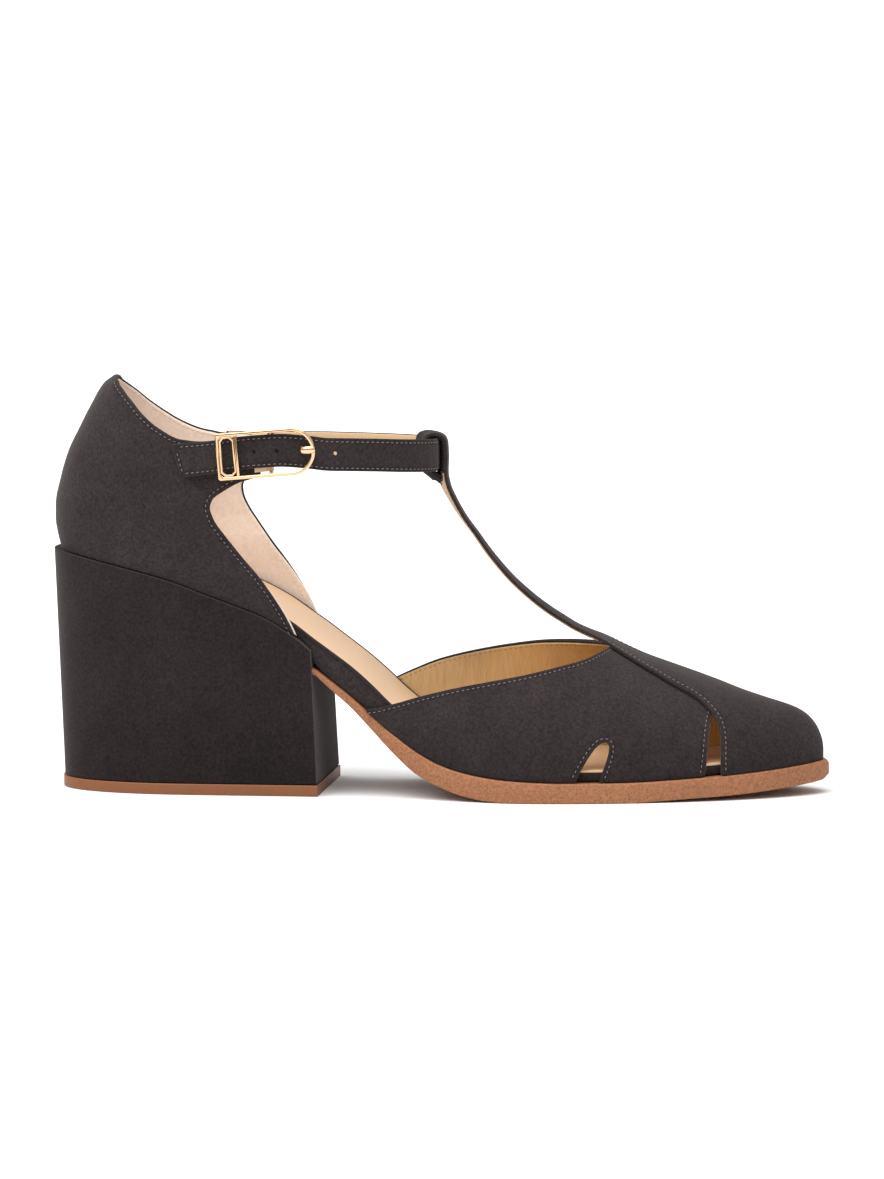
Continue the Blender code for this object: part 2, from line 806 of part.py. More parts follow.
def counter_mesh():
    """The open surface of the heel counter, spread evenly between its edges on each side."""
    bm = bmesh.new()
    for side in SIDES:
        bottom, top, back, front = counter_edges(side)
        rows = []
        for i in range(COUNTER_ROWS + 1):
            rise = i / COUNTER_ROWS
            row = []
            for j in range(COUNTER_COLUMNS + 1):
                reach = j / COUNTER_COLUMNS
                place = []
                for axis in (0, 1):
                    across = (1 - rise) * bottom(reach)[axis] + rise * top(reach)[axis]
                    along = (1 - reach) * back(rise)[axis] + reach * front(rise)[axis]
                    corners = (1 - rise) * (
                        (1 - reach) * bottom(0)[axis] + reach * bottom(1)[axis]
                    ) + rise * ((1 - reach) * top(0)[axis] + reach * top(1)[axis])
                    place.append(across + along - corners)
                row.append(counter_point(*place, side))
            rows.append(row)
        add_grid(bm, rows)
    return finish_mesh(bm, "heel_counter")


def ankle_strap_mesh():
    """A flat band along its route, with the tail cut at a slant."""
    route = [Vector(point) for point in ANKLE_STRAP]
    half_width = ANKLE_STRAP_WIDTH / 2
    half_wall = ANKLE_STRAP_WALL / 2
    corners = ((1, 1), (-1, 1), (-1, -1), (1, -1))
    sections = []
    for i, point in enumerate(route):
        along = route[min(i + 1, len(route) - 1)] - route[max(i - 1, 0)]
        inwards = Vector((along.y, -along.x, 0)).normalized()
        sections.append(
            [
                point + inwards * half_wall * depth + Vector((0, 0, half_width * rise))
                for depth, rise in corners
            ]
        )
    tail = []
    for depth, rise in corners:
        x = TAIL_TOP_X if rise > 0 else TAIL_BOTTOM_X
        tail.append(Vector((x, TAIL_Y + half_wall * depth, TAIL_Z + half_width * rise)))
    sections.append(tail)
    return loft("ankle_strap", sections, 30)


def in_buckle(along, across, y=BUCKLE_Y):
    """A point of the buckle's plane in the design frame."""
    tilt = math.radians(BUCKLE_TILT)
    x = BUCKLE_LEFT_X + along * math.cos(tilt) - across * math.sin(tilt)
    z = BUCKLE_MIDDLE_Z + along * math.sin(tilt) + across * math.cos(tilt)
    return Vector((x, y, z))


def wire(name, points, radius, collection, closed=False):
    """A round wire along points of the design frame, as a closed mesh object."""
    curve = bpy.data.curves.new(name, "CURVE")
    curve.dimensions = "3D"
    curve.bevel_depth = radius * MM
    curve.bevel_resolution = 2
    curve.use_fill_caps = True
    spline = curve.splines.new("POLY")
    spline.points.add(len(points) - 1)
    for target, point in zip(spline.points, points):
        target.co = (*to_frame(*point), 1.0)
    spline.use_cyclic_u = closed
    obj = bpy.data.objects.new(name, curve)
    collection.objects.link(obj)
    mesh = bpy.data.meshes.new_from_object(obj.evaluated_get(bpy.context.evaluated_depsgraph_get()))
    bpy.data.objects.remove(obj)
    bm = bmesh.new()
    bm.from_mesh(mesh)
    bpy.data.meshes.remove(mesh)
    return add_object(name, finish_mesh(bm, name), collection)


def arc(centre_along, centre_across, radius, start, stop, steps):
    """Points of an arc in the buckle's plane, angles in degrees."""
    angles = [math.radians(start + (stop - start) * i / steps) for i in range(steps + 1)]
    return [
        in_buckle(centre_along + radius * math.cos(a), centre_across + radius * math.sin(a))
        for a in angles
    ]


def build():
    empty_scene()
    parts = new_collection("t_strap_shoe")
    cutters = new_collection("cutters")
    suede = new_material("dark_suede", "#423b3b", 0.95)
    sole_leather = new_material("sole_leather", "#a46e4e", 0.6)
    sock_leather = new_material("sock_leather", "#f1d5b7", 0.5)
    gold = new_material("polished_gold", "#d9b48a", 0.15, 1.0)

    add_object("outsole", outsole_mesh(), parts, sole_leather)
    add_object("heel_top_piece", top_piece_mesh(), parts, sole_leather)
    add_object("heel_block", heel_block_mesh(), parts, suede)
    add_object("insole_rand", insole_rand_mesh(), parts, suede)
    add_object("sock_lining", sock_mesh(), parts, sock_leather)
    vamp = add_object("vamp", vamp_mesh(), parts, suede)
    add_wall(vamp, VAMP_WALL)
    cut_openings(vamp, cutters)
    add_object("toe_panel_t_strap", toe_panel_mesh(), parts, suede)
    counter = add_object("heel_counter", counter_mesh(), parts, suede)
    add_wall(counter, COUNTER_WALL)
    strap = add_object("ankle_strap", ankle_strap_mesh(), parts, suede)
    build_buckle(parts, cutters, gold, strap)


def add_wall(obj, thickness):
    """Gives an open surface its wall, on the inner side."""
    wall = obj.modifiers.new("wall", "SOLIDIFY")
    wall.thickness = thickness * MM
    wall.offset = -1
    wall.use_even_offset = True
    wall.use_quality_normals = True


# Outlines of the two cut-outs of the side panel, seen from the side. The medial ones lie further forward.
FRONT_CUT = ((207.3, 4.0), (208.4, 11.1), (208.8, 15.6), (209.0, 19.5), (209.3, 23.7), (210.0, 27.6))
FRONT_CUT += ((211.3, 25.3), (212.4, 22.1), (212.8, 18.4), (213.0, 14.3), (213.0, 4.0))
SIDE_CUT = ((168.0, 4.0), (168.9, 6.8), (170.5, 10.2), (172.9, 14.3), (175.0, 17.2), (176.8, 18.6))
SIDE_CUT += ((178.0, 18.8), (179.0, 17.7), (178.9, 15.8), (178.2, 13.0), (177.3, 10.4), (175.0, 4.0))
CUT_DEPTH = {"front": (12.0, 45.0), "side": (20.0, 55.0)}
MEDIAL_CUT_FORWARD = {"front": 1.5, "side": 2.5}


def cut_openings(vamp, cutters):
    for kind, points in (("front", FRONT_CUT), ("side", SIDE_CUT)):
        near, far = CUT_DEPTH[kind]
        for side in SIDES:
            name = f"{kind}_cut_{side_name(side)}"
            shift = MEDIAL_CUT_FORWARD[kind] if side > 0 else 0.0
            sections = [[(x + shift, side * y, z) for x, z in points] for y in (near, far)]
            cutter = add_object(name, loft(name, sections), cutters)
            cut(vamp, cutter)


def cut(obj, cutter, operation="DIFFERENCE"):
    cutter.hide_render = True
    cutter.display_type = "WIRE"
    boolean = obj.modifiers.new(cutter.name, "BOOLEAN")
    boolean.operation = operation
    boolean.object = cutter


def build_buckle(parts, cutters, gold, strap):
    """The frame with its keeper and pivot bar, the prong round the bar, and the strap's hole."""
    top, bottom = BUCKLE_HEIGHT / 2, -BUCKLE_HEIGHT / 2
    narrow = BUCKLE_END_RADIUS
    bend = BUCKLE_LENGTH - narrow
    rim = [in_buckle(0, bottom), in_buckle(0, top), in_buckle(KEEPER_WIDTH, top)]
    rim += arc(bend, 0, narrow, 90, -90, 10)
    rim += [in_buckle(KEEPER_WIDTH, bottom)]
    frame = wire("buckle_frame", rim, WIRE_RADIUS, parts, closed=True)
    keeper = [in_buckle(KEEPER_WIDTH, top), in_buckle(KEEPER_WIDTH, bottom)]
    pivot = [
        in_buckle(PIVOT_ALONG, top - 0.1),
        in_buckle(PIVOT_ALONG, top - 0.1, PIVOT_Y),
        in_buckle(PIVOT_ALONG, bottom + 0.1, PIVOT_Y),
        in_buckle(PIVOT_ALONG, bottom + 0.1),
    ]
    for name, points, radius in (
        ("keeper_bar", keeper, WIRE_RADIUS),
        ("pivot_bar", pivot, PIVOT_RADIUS),
    ):
        cut(frame, wire(name, points, radius, cutters), "UNION")
    frame.data.materials.append(gold)

    eye = PIVOT_RADIUS + GAP + PRONG_RADIUS
    prong_path = []
    for i in range(9):
        angle = math.radians(200 - i * 200 / 8)
        prong_path.append(
            in_buckle(PIVOT_ALONG + eye * math.cos(angle), 0, PIVOT_Y + eye * math.sin(angle))
        )
    prong_path += [
        in_buckle(PRONG_RISE_ALONG - 1.8, 0, PIVOT_Y),
        in_buckle(PRONG_RISE_ALONG - 0.5, 0, PIVOT_Y - 1.0),
        in_buckle(PRONG_RISE_ALONG, 0, PIVOT_Y - 3.0),
        in_buckle(PRONG_RISE_ALONG + 0.6, 0, BUCKLE_Y - 1.0),
        in_buckle(PRONG_RISE_ALONG + 2.0, 0, BUCKLE_Y - 1.9),
        in_buckle(BUCKLE_LENGTH + 0.6, 0, BUCKLE_Y - 1.9),
    ]
    prong = wire("buckle_prong", prong_path, PRONG_RADIUS, parts)
    prong.data.materials.append(gold)
    hole = [
        in_buckle(PRONG_RISE_ALONG - 0.2, 0, PIVOT_Y + 2.0),
        in_buckle(PRONG_RISE_ALONG - 0.2, 0, BUCKLE_Y - 3.0),
    ]
    cut(strap, wire("prong_hole", hole, HOLE_RADIUS, cutters))


build()
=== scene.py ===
"""Looks of a right-foot t strap pump in dark suede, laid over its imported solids.

Shapes are worked out in millimetres in the shoe's own design frame: the heel's rear near x = 0, the toe
tip of the sole at x = 245, the floor at z = 0, and the buckle side (lateral) towards -y. place() moves a
point to the row frame, in metres.
"""

import math

import bmesh
import bpy
from bpy.props import FloatProperty, FloatVectorProperty, PointerProperty
from mathutils import Matrix, Vector
from mathutils.kdtree import KDTree


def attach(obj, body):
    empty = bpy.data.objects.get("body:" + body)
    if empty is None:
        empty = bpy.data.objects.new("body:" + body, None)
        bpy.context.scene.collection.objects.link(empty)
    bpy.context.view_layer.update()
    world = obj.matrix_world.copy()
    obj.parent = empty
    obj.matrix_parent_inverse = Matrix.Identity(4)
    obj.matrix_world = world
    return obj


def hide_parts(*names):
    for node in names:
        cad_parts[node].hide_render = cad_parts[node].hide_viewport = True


bl_info = {
    "name": "T strap shoe",
    "version": (1, 0, 0),
    "blender": (4, 5, 0),
    "location": "3D View > Sidebar > Shoe",
    "description": "Builds the suede, linings, seams and buckle of a t strap shoe over its solids",
    "category": "Add Mesh",
}

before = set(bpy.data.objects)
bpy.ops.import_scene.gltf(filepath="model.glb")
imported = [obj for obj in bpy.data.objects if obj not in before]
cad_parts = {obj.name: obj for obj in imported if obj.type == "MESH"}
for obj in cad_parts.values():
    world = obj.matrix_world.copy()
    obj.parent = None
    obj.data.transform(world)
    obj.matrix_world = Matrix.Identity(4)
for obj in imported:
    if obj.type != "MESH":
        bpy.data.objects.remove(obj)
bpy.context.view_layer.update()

MM = 0.001
SIDES = (-1, 1)
SHOE_LENGTH = 245.0
HEEL_REAR_X = 0.5
BALL = {-1: (152.0, -37.2), 1: (168.0, 37.6)}
FRAME_X = (HEEL_REAR_X + SHOE_LENGTH) / 2
FRAME_Y = (BALL[-1][1] + BALL[1][1]) / 2
WIDEST_HEEL_X = 46.0
HEEL_ROUNDNESS = 2.4
TOE_TIP_X = 241.8
TOE_TIP_Y = 3.0
TOE_FULLNESS = 1.6
TOE_POINT = 0.6
SOLE_MARGIN = 1.3
SOLE_CHAMFER = 0.5
PLATE_MARGIN = 0.35
PLATE_CHAMFER = 0.3
GAP = 0.3

CAP_START_X = 220.0
TIP_HEIGHT = 3.0
CAP_POWER = 6.8
CAP_ROOT = 0.6
SECTION_POWER = 0.93

BREAST_X = 87.1
BREAST_SLOPE = 0.05
HEEL_BACK_BOTTOM_X = 3.5
TOP_PIECE = 3.5
BLOCK_BOTTOM_HALF = 27.4
BLOCK_STANDS_PROUD = 1.4
SEAT_END_X = 85.2
SEAT_LEAN = 0.965
WAIST_X = 120.0
WAIST_RUN = 16.0
WAIST_LOSS = 2.2
BOARD_DEPTH = 4.6
BOARD_CLEARANCE = 1.5
BOARD_BELOW_SOCK = 0.75
BOARD_CHAMFER = 0.8
SOCK_WALL = 0.8
SOCK_CHAMFER = 0.35
SEAT_INSET = 1.8
FOREPART_INSET = 1.6
THROAT_STARTS_X = 174.5
THROAT_X = 178.5
VAMP_BACK_X = {-1: 102.4, 1: 100.2}
OVERLAY_GAP = 0.45
LINING_SITS_LOWER = 0.5
LINING_PEEKS = 1.9
PEEK_BELOW_Z = 72.0
BLOCK_CORNER_X = 82.6
BLOCK_CORNER_SLOPE = 0.85
CLEAR_FROM_X = 79.5
CLEAR_RUN = 5.5
PIPING_RADIUS = 0.55
PIPING_RUN = (50.0, 150.0)
PIPING_DROP = 0.35
# Walls of the counter as shares of the suede's and the lining's
COUNTER_WALL = 1.1
COUNTER_LINING_WALL = 1.15
# Whole walls of the vamp and the counter, suede and lining
LINED_VAMP = 1.6
LINED_COUNTER = 1.8


class Table:
    """Rows of sizes with named columns, read anywhere on a smooth curve that never overshoots."""

    def __init__(self, columns, *rows):
        self.columns = columns.split()
        self.rows = rows
        self.stations = [row[0] for row in rows]

    def column(self, name):
        return [row[self.columns.index(name)] for row in self.rows]

    def __call__(self, name, station):
        return smooth_between(self.stations, self.column(name), station)


def smooth_between(xs, ys, x):
    """The value at x on a smooth curve through the points, level where they turn."""
    if x <= xs[0]:
        return ys[0]
    if x >= xs[-1]:
        return ys[-1]
    left = max(i for i in range(len(xs) - 1) if xs[i] <= x)
    span = xs[left + 1] - xs[left]
    t = (x - xs[left]) / span
    start, end = slope(xs, ys, left), slope(xs, ys, left + 1)
    return (
        (2 * t**3 - 3 * t**2 + 1) * ys[left]
        + (t**3 - 2 * t**2 + t) * span * start
        + (3 * t**2 - 2 * t**3) * ys[left + 1]
        + (t**3 - t**2) * span * end
    )


def slope(xs, ys, i):
    steps = [(ys[k + 1] - ys[k]) / (xs[k + 1] - xs[k]) for k in (i - 1, i) if 0 <= k < len(xs) - 1]
    if len(steps) == 1:
        return steps[0]
    before, after = steps
    return 0.0 if before * after <= 0 else 2 * before * after / (before + after)


# Half widths of the upper at its lower edge
PLAN = Table(
    "x lateral medial",
    (46, -29.5, 29.0),
    (60, -29.0, 28.0),
    (72, -28.0, 26.0),
    (85, -26.9, 23.8),
    (98, -26.6, 22.6),
    (110, -28.2, 23.0),
    (122, -31.3, 25.3),
    (136, -35.0, 29.8),
    (152, -37.2, 35.0),
    (168, -37.2, 37.6),
    (176, -37.2, 37.6),
)

# Upper and lower faces of the outsole
SOLE = Table(
    "x top bottom",
    (86, 40.0, 38.2),
    (91, 36.2, 33.6),
    (97.4, 31.2, 28.0),
    (103.6, 25.9, 21.6),
    (111, 20.0, 14.2),
    (118.6, 14.8, 8.0),
    (126.3, 11.0, 4.2),
    (134, 8.8, 1.7),
    (141.6, 7.5, 0.4),
    (149, 6.8, 0.0),
    (165, 6.2, 0.0),
    (184, 6.3, 0.0),
    (199.4, 6.9, 0.8),
    (219, 8.1, 1.8),
    (230, 9.0, 2.8),
    (238, 9.8, 3.7),
    (243.3, 10.3, 4.5),
    (245, 9.3, 6.0),
)

# Top of the sock lining and top of the heel block, along the foot
FOOTBED = Table(
    "x sock block",
    (0, 79.4, 75.6),
    (11.3, 77.9, 73.8),
    (21.8, 75.9, 71.7),
    (32.7, 73.3, 69.2),
    (42.4, 70.5, 66.5),
    (50.7, 67.4, 63.3),
    (61.6, 63.4, 59.3),
    (71.2, 58.9, 55.3),
    (79.5, 53.6, 50.0),
    (82.6, 51.4, 47.6),
    (84.4, 50.1, 45.0),
    (85.2, 49.5, 42.4),
    (91.1, 45.2, 36.0),
    (97.3, 40.6, 31.0),
    (103.6, 35.2, 26.0),
    (110, 29.2, 20.7),
    (118, 22.9, 15.0),
    (126, 18.2, 11.0),
    (134, 15.0, 8.8),
    (142, 12.8, 7.5),
    (150, 11.3, 6.8),
    (165, 10.2, 6.2),
    (182, 10.1, 6.3),
    (195, 10.7, 6.8),
    (208, 11.4, 7.4),
    (222, 12.2, 8.3),
    (240, 13.8, 10.0),
)

# Line of the last over the instep
INSTEP = Table(
    "x z",
    (98, 93),
    (115, 84),
    (130, 74.5),
    (145, 64.5),
    (160, 55),
    (170, 49.6),
    (177, 46.1),
    (187, 41.7),
    (195, 38.9),
    (202, 36.5),
    (210, 33.6),
    (217, 30.9),
    (225, 28.3),
    (233, 26.0),
    (241.8, 23.6),
)

# Open edge of the vamp on each side
TOPLINE = Table(
    "x lateral medial",
    (100.2, 28.0, 29.6),
    (102.4, 27.6, 30.8),
    (110.4, 29.3, 34.8),
    (120.7, 32.4, 38.9),
    (132, 35.3, 41.6),
    (143, 37.5, 43.5),
    (154, 39.6, 44.9),
    (162, 41.4, 45.4),
    (169.6, 43.1, 45.7),
    (174.5, 45.0, 46.1),
)

# Rows of the toe panel: where each crosses the ridge, and where and at what angle it ends
PANEL = (
    (181.5, 180.5, 76.0),
    (187.5, 186.0, 71.5),
    (193.5, 191.5, 66.5),
    (199.5, 197.0, 61.0),
    (205.5, 202.4, 56.5),
    (210.5, 206.4, 51.0),
    (214.5, 209.2, 44.5),
    (217.5, 211.1, 37.5),
    (220.0, 212.1, 30.0),
    (222.5, 212.5, 22.0),
    (225.0, 212.6, 11.5),
    (227.5, 212.7, 0.0),
    (229.7, 217.5, 0.0),
    (232.0, 222.5, 0.0),
    (234.2, 227.5, 0.0),
    (236.5, 232.5, 0.0),
    (238.5, 236.4, 0.0),
    (240.1, 239.1, 0.0),
    (241.2, 240.9, 0.0),
    (241.6, 241.5, 0.0),
    (241.8, 241.8, 0.0),
)
SEAM_ENDS_AT = 11

# Middle of the t strap's outer face from the throat up, over the ankle strap and down behind it
T_STRAP = (
    # x, y, z, half_width, turn, crown
    (173.6, 0.6, 49.3, 6.6, 0, 0.45),
    (170.0, 0.8, 50.7, 5.6, 0, 0.5),
    (166.0, 1.1, 52.5, 5.1, 1, 0.6),
    (162.0, 1.3, 54.9, 5.0, 1, 0.7),
    (158.0, 1.6, 57.4, 5.0, 2, 0.8),
    (154.0, 1.9, 60.2, 5.0, 3, 0.8),
    (150.0, 2.2, 63.4, 5.0, 4, 0.8),
    (146.0, 2.5, 67.0, 5.0, 5, 0.8),
    (142.0, 2.8, 71.3, 5.0, 6, 0.8),
    (138.2, 3.1, 75.9, 5.1, 7, 0.8),
    (134.5, 3.5, 80.9, 5.4, 9, 0.8),
    (130.6, 3.9, 86.1, 5.9, 11, 0.9),
    (127.3, 4.3, 91.7, 6.3, 13, 1.1),
    (125.3, 4.6, 96.2, 6.6, 15, 1.4),
    (124.6, 4.8, 100.0, 6.8, 16, 1.6),
    (124.7, 4.9, 104.5, 6.8, 16, 1.6),
    (124.5, 4.9, 108.9, 6.8, 16, 1.6),
    (123.6, 4.9, 111.2, 6.8, 16, 1.6),
    (120.8, 4.9, 112.3, 6.8, 16, 1.6),
    (118.0, 4.9, 111.5, 6.8, 16, 1.6),
    (117.0, 4.9, 109.6, 6.8, 16, 1.6),
    (116.9, 4.9, 106.0, 6.8, 16, 1.6),
    (116.9, 4.9, 102.4, 6.8, 16, 1.6),
    (117.6, 4.9, 100.5, 6.8, 16, 1.6),
    (119.1, 4.9, 98.9, 6.8, 16, 1.6),
    (120.7, 4.8, 97.6, 6.7, 16, 1.5),
    (122.1, 4.7, 96.3, 6.5, 16, 1.4),
)
LOOP_FIRST_ROW = 14
LOOP_LINED_Z = 99.8
LOOP_TAIL_X = 122.6

# Height of the back of the upper, and how its sides lean in
BACK = Table(
    "z x lean",
    (45, 3.2, 0.955),
    (60, 3.0, 0.96),
    (75.6, 2.5, 0.965),
    (80.4, 1.5, 0.98),
    (84.5, 0.9, 0.99),
    (88.9, 0.9, 0.99),
    (97.8, 2.6, 0.965),
    (105.8, 5.0, 0.945),
    (113.7, 8.8, 0.925),
    (121, 12.6, 0.91),
    (127.4, 16.5, 0.90),
    (129.9, 19.8, 0.90),
)

# Collar and wings of the heel counter. A turn of 90 is the widest part of the heel.
COLLAR = Table(
    "turn lateral medial",
    (0, 129.9, 129.9),
    (15, 130.0, 129.2),
    (30, 129.6, 127.3),
    (45, 127.6, 124.5),
    (60, 123.4, 120.2),
    (70, 119.1, 116.9),
    (80, 114.7, 113.4),
    (90, 111.2, 110.6),
    (97, 110.8, 109.8),
    (105, 111.1, 109.6),
    (130, 112.0, 110.0),
)
WING = Table(
    "z lateral medial",
    (48, 81.0, 82.6),
    (53.9, 78.4, 80.0),
    (59.6, 75.2, 77.2),
    (68.4, 69.1, 71.4),
    (75.3, 63.3, 66.0),
    (81.4, 58.5, 61.5),
    (86.7, 54.9, 58.0),
    (90.2, 53.8, 56.5),
    (92.7, 54.6, 56.2),
    (95.5, 58.2, 57.5),
    (98.0, 62.8, 61.0),
    (99.8, 68.4, 66.0),
    (101.0, 69.6, 66.5),
    (112, 69.6, 66.5),
)
TURN_PER_MM = 1.6
WING_FOOT_Z = 49.6
WING_TOP_Z = 111.0
BLOCK_REAR_Z = 75.6

# Middle of the ankle strap from its lap on the medial wing, round the front, to its tail
ANKLE_STRAP = (
    (50.5, 29.0, 105.0),
    (58.0, 28.9, 105.0),
    (66.0, 28.8, 105.0),
    (75.0, 28.2, 105.1),
    (84.0, 26.7, 105.2),
    (93.0, 24.4, 105.2),
    (101.0, 21.9, 105.2),
    (107.6, 19.1, 105.2),
    (113.2, 15.5, 105.2),
    (117.3, 11.3, 105.2),
    (119.9, 6.8, 105.2),
    (121.2, 1.9, 105.3),
    (121.2, -3.4, 105.4),
    (119.7, -8.6, 105.6),
    (116.6, -13.6, 105.9),
    (111.8, -18.0, 106.2),
    (105.5, -22.0, 106.6),
    (98.5, -25.4, 106.9),
    (91.0, -28.6, 107.2),
    (84.0, -31.0, 108.1),
    (77.0, -32.0, 108.6),
    (70.0, -31.9, 108.2),
    (63.0, -31.5, 107.5),
    (57.0, -30.9, 106.45),
    (51.0, -30.2, 105.7),
    (43.5, -29.9, 105.0),
)
TAIL_SLANT = 1.6
TAIL_SLANT_FROM = 0.9
STRAP_HALF_WIDTH = 5.2
STRAP_WALL = 2.0
STRAP_SUEDE = 1.25

# The buckle, in its own plane: along the strap, and across it
BUCKLE_LEFT_X = 57.6
BUCKLE_MIDDLE_Z = 106.4
BUCKLE_Y = -34.1
BUCKLE_TILT = 5.0
BUCKLE_LENGTH = 29.4
BUCKLE_HEIGHT = 13.2
BUCKLE_RIM = 0.75
KEEPER_WIDTH = 5.6
PIVOT_ALONG = 15.2
PIVOT_Y = -28.75
PIVOT_RADIUS = 0.6
PRONG_RISE_ALONG = 25.6
# Holes of the strap in the buckle's plane: along it and across it
PRONG_HOLE = (25.9, 0.2)
PRONG_HOLE_RADIUS = 0.95
FREE_HOLES = ((10.9, 0.75), (18.0, 0.6), (35.5, -2.0))
# Depth of the painted shadows on the lining under the free holes
HOLE_SHADOW_Y = BUCKLE_Y + 2.6

# Soft creases seen from the side: the side of the shoe, both ends in x and z, half width and depth
VAMP_CREASES = (
    (-1, 184.0, 13.0, 203.0, 17.5, 2.2, 0.28),
    (-1, 187.0, 20.0, 200.0, 24.0, 3.0, -0.15),
    (-1, 112.0, 25.0, 132.0, 27.5, 3.2, 0.2),
    (-1, 150.0, 30.0, 166.0, 24.0, 4.5, 0.22),
    (1, 140.0, 24.0, 168.0, 31.0, 4.5, 0.25),
    (1, 186.0, 14.0, 202.0, 21.0, 2.6, 0.25),
)
COUNTER_CREASES = (
    (-1, 14.0, 98.0, 30.0, 84.0, 6.0, 0.3),
    (-1, 40.0, 95.0, 52.0, 84.0, 4.0, 0.25),
    (-1, 52.0, 74.0, 66.0, 63.0, 4.0, 0.2),
    (1, 16.0, 100.0, 34.0, 86.0, 6.0, 0.3),
    (1, 42.0, 82.0, 58.0, 70.0, 4.5, 0.25),
)

# Outlines of the two cut-outs of the side panel, seen from the side as x and z
FRONT_CUT = ((207.3, 4.0), (208.4, 11.1), (208.8, 15.6), (209.0, 19.5), (209.3, 23.7), (210.0, 27.6))
FRONT_CUT += ((211.3, 25.3), (212.4, 22.1), (212.8, 18.4), (213.0, 14.3), (213.0, 4.0))
SIDE_CUT = ((168.0, 4.0), (168.9, 6.8), (170.5, 10.2), (172.9, 14.3), (175.0, 17.2), (176.8, 18.6))
SIDE_CUT += ((178.0, 18.8), (179.0, 17.7), (178.9, 15.8), (178.2, 13.0), (177.3, 10.4), (175.0, 4.0))
CUT_DEPTH = {"front": (12.0, 45.0), "side": (20.0, 55.0)}
MEDIAL_CUT_FORWARD = {"front": 1.5, "side": 2.5}


def linear(colour):
    """An sRGB hex colour as linear red, green and blue."""
    channels = [int(colour[i : i + 2], 16) / 255 for i in (1, 3, 5)]
    return [((c + 0.055) / 1.055) ** 2.4 if c > 0.04 else c / 12.92 for c in channels]


def colour_property(name, description, colour):
    return FloatVectorProperty(
        name=name, description=description, subtype="COLOR", min=0, max=1, default=linear(colour)
    )


def length_property(name, description, default):
    return FloatProperty(
        name=name, description=description, default=default, min=0.0, subtype="DISTANCE", unit="LENGTH"
    )


class ShoeSizes(bpy.types.PropertyGroup):
    """Sizes that a user may change without leaving the shoe's solids."""

    suede: length_property("Suede", "Thickness of the suede", 1.0 * MM)
    lining: length_property("Lining", "Thickness of the lining", 0.6 * MM)
    stitch_pitch: length_property("Stitch pitch", "From one stitch to the next", 1.65 * MM)
    stitch_length: length_property("Stitch length", "Thread that shows of one stitch", 1.0 * MM)
    thread: length_property("Thread", "Width of the thread", 0.3 * MM)
    seam_inset: length_property("Seam inset", "From an edge to its row of stitches", 1.3 * MM)
    strap_hole: length_property("Strap hole", "Radius of a hole in the ankle strap", 0.6 * MM)
    nap: length_property("Nap", "Size of a tuft of the suede's nap", 0.5 * MM)
    edge_roundness: length_property("Edge roundness", "Radius of a folded leather edge", 0.3 * MM)


class ShoeColours(bpy.types.PropertyGroup):
    """Colours of the leathers, thread and metal."""

    suede: colour_property("Suede", "Dark suede of the upper", "#2e2828")
    # Darker than the upper's suede as painted shade, for the heel block's upright sides that catch less
    # light from above
    heel_suede_painted_shade: colour_property("Heel suede", "Dark suede drawn over the heel block", "#251f1f")
    heel_lining: colour_property("Heel lining", "Inside of the heel counter", "#dbc8b8")
    vamp_lining: colour_property("Vamp lining", "Inside of the vamp at its open edge", "#d0b284")
    # Towards the toe the lining is painted deeper: painted shade and painted reflection deep inside the
    # vamp
    toe_lining_painted_shade: colour_property("Deep lining", "Inside of the vamp towards the toe", "#bc985e")
    strap_lining: colour_property("Strap lining", "Inside of the straps", "#c9ab86")
    lining_edge: colour_property("Lining edge", "Cut edge of the linings", "#ecdccb")
    sock: colour_property("Sock", "Sheet under the foot", "#d6b38f")
    sole: colour_property("Sole", "Cut edge of the sole", "#915d3a")
    top_piece: colour_property("Top piece", "Plate under the heel", "#784621")
    thread: colour_property("Thread", "Sewing thread of the suede", "#716968")
    lining_thread: colour_property("Lining thread", "Sewing thread inside the vamp", "#8d7454")
    metal: colour_property("Metal", "Plating of the buckle", "#ebc49b")
    floor: colour_property("Floor", "Studio floor", "#ebebeb")


def place(point):
    """A point of the design frame, in the row frame."""
    return Vector((point[0] - FRAME_X, point[1] - FRAME_Y, point[2])) * MM


def unit(value):
    """The value, held between 0 and 1."""
    return max(0.0, min(1.0, value))


def side_name(side):
    return "lateral" if side < 0 else "medial"


def toe_taper(u):
    return (1 - unit(u) ** TOE_FULLNESS) ** TOE_POINT


def back_taper(x, rear):
    u = min(1.0, max(0.0, (WIDEST_HEEL_X - x) / (WIDEST_HEEL_X - rear)))
    return (1 - u**HEEL_ROUNDNESS) ** (1 / HEEL_ROUNDNESS)


def outline(side, x, grow=0.0, toe_grow=None, rear=0.0):
    """The y of one side of the plan outline at x, grown outwards by grow."""
    tip = TOE_TIP_X + (grow if toe_grow is None else toe_grow)
    ball_x, ball_y = BALL[side]
    if x < WIDEST_HEEL_X:
        return (PLAN(side_name(side), WIDEST_HEEL_X) + side * grow) * back_taper(x, rear)
    if x <= ball_x:
        return PLAN(side_name(side), x) + side * grow
    u = (x - ball_x) / (tip - ball_x)
    middle = TOE_TIP_Y * u**2
    return middle + (ball_y + side * grow - TOE_TIP_Y * u**2 * (1 - u)) * toe_taper(u)


def instep_height(x, foot):
    height = INSTEP("z", x) - foot
    if x <= CAP_START_X:
        return height
    u = min(1.0, (x - CAP_START_X) / (TOE_TIP_X - CAP_START_X))
    return TIP_HEIGHT + (height - TIP_HEIGHT) * (1 - u**CAP_POWER) ** CAP_ROOT


def lower_edge(x):
    return SOLE("top", x) + GAP


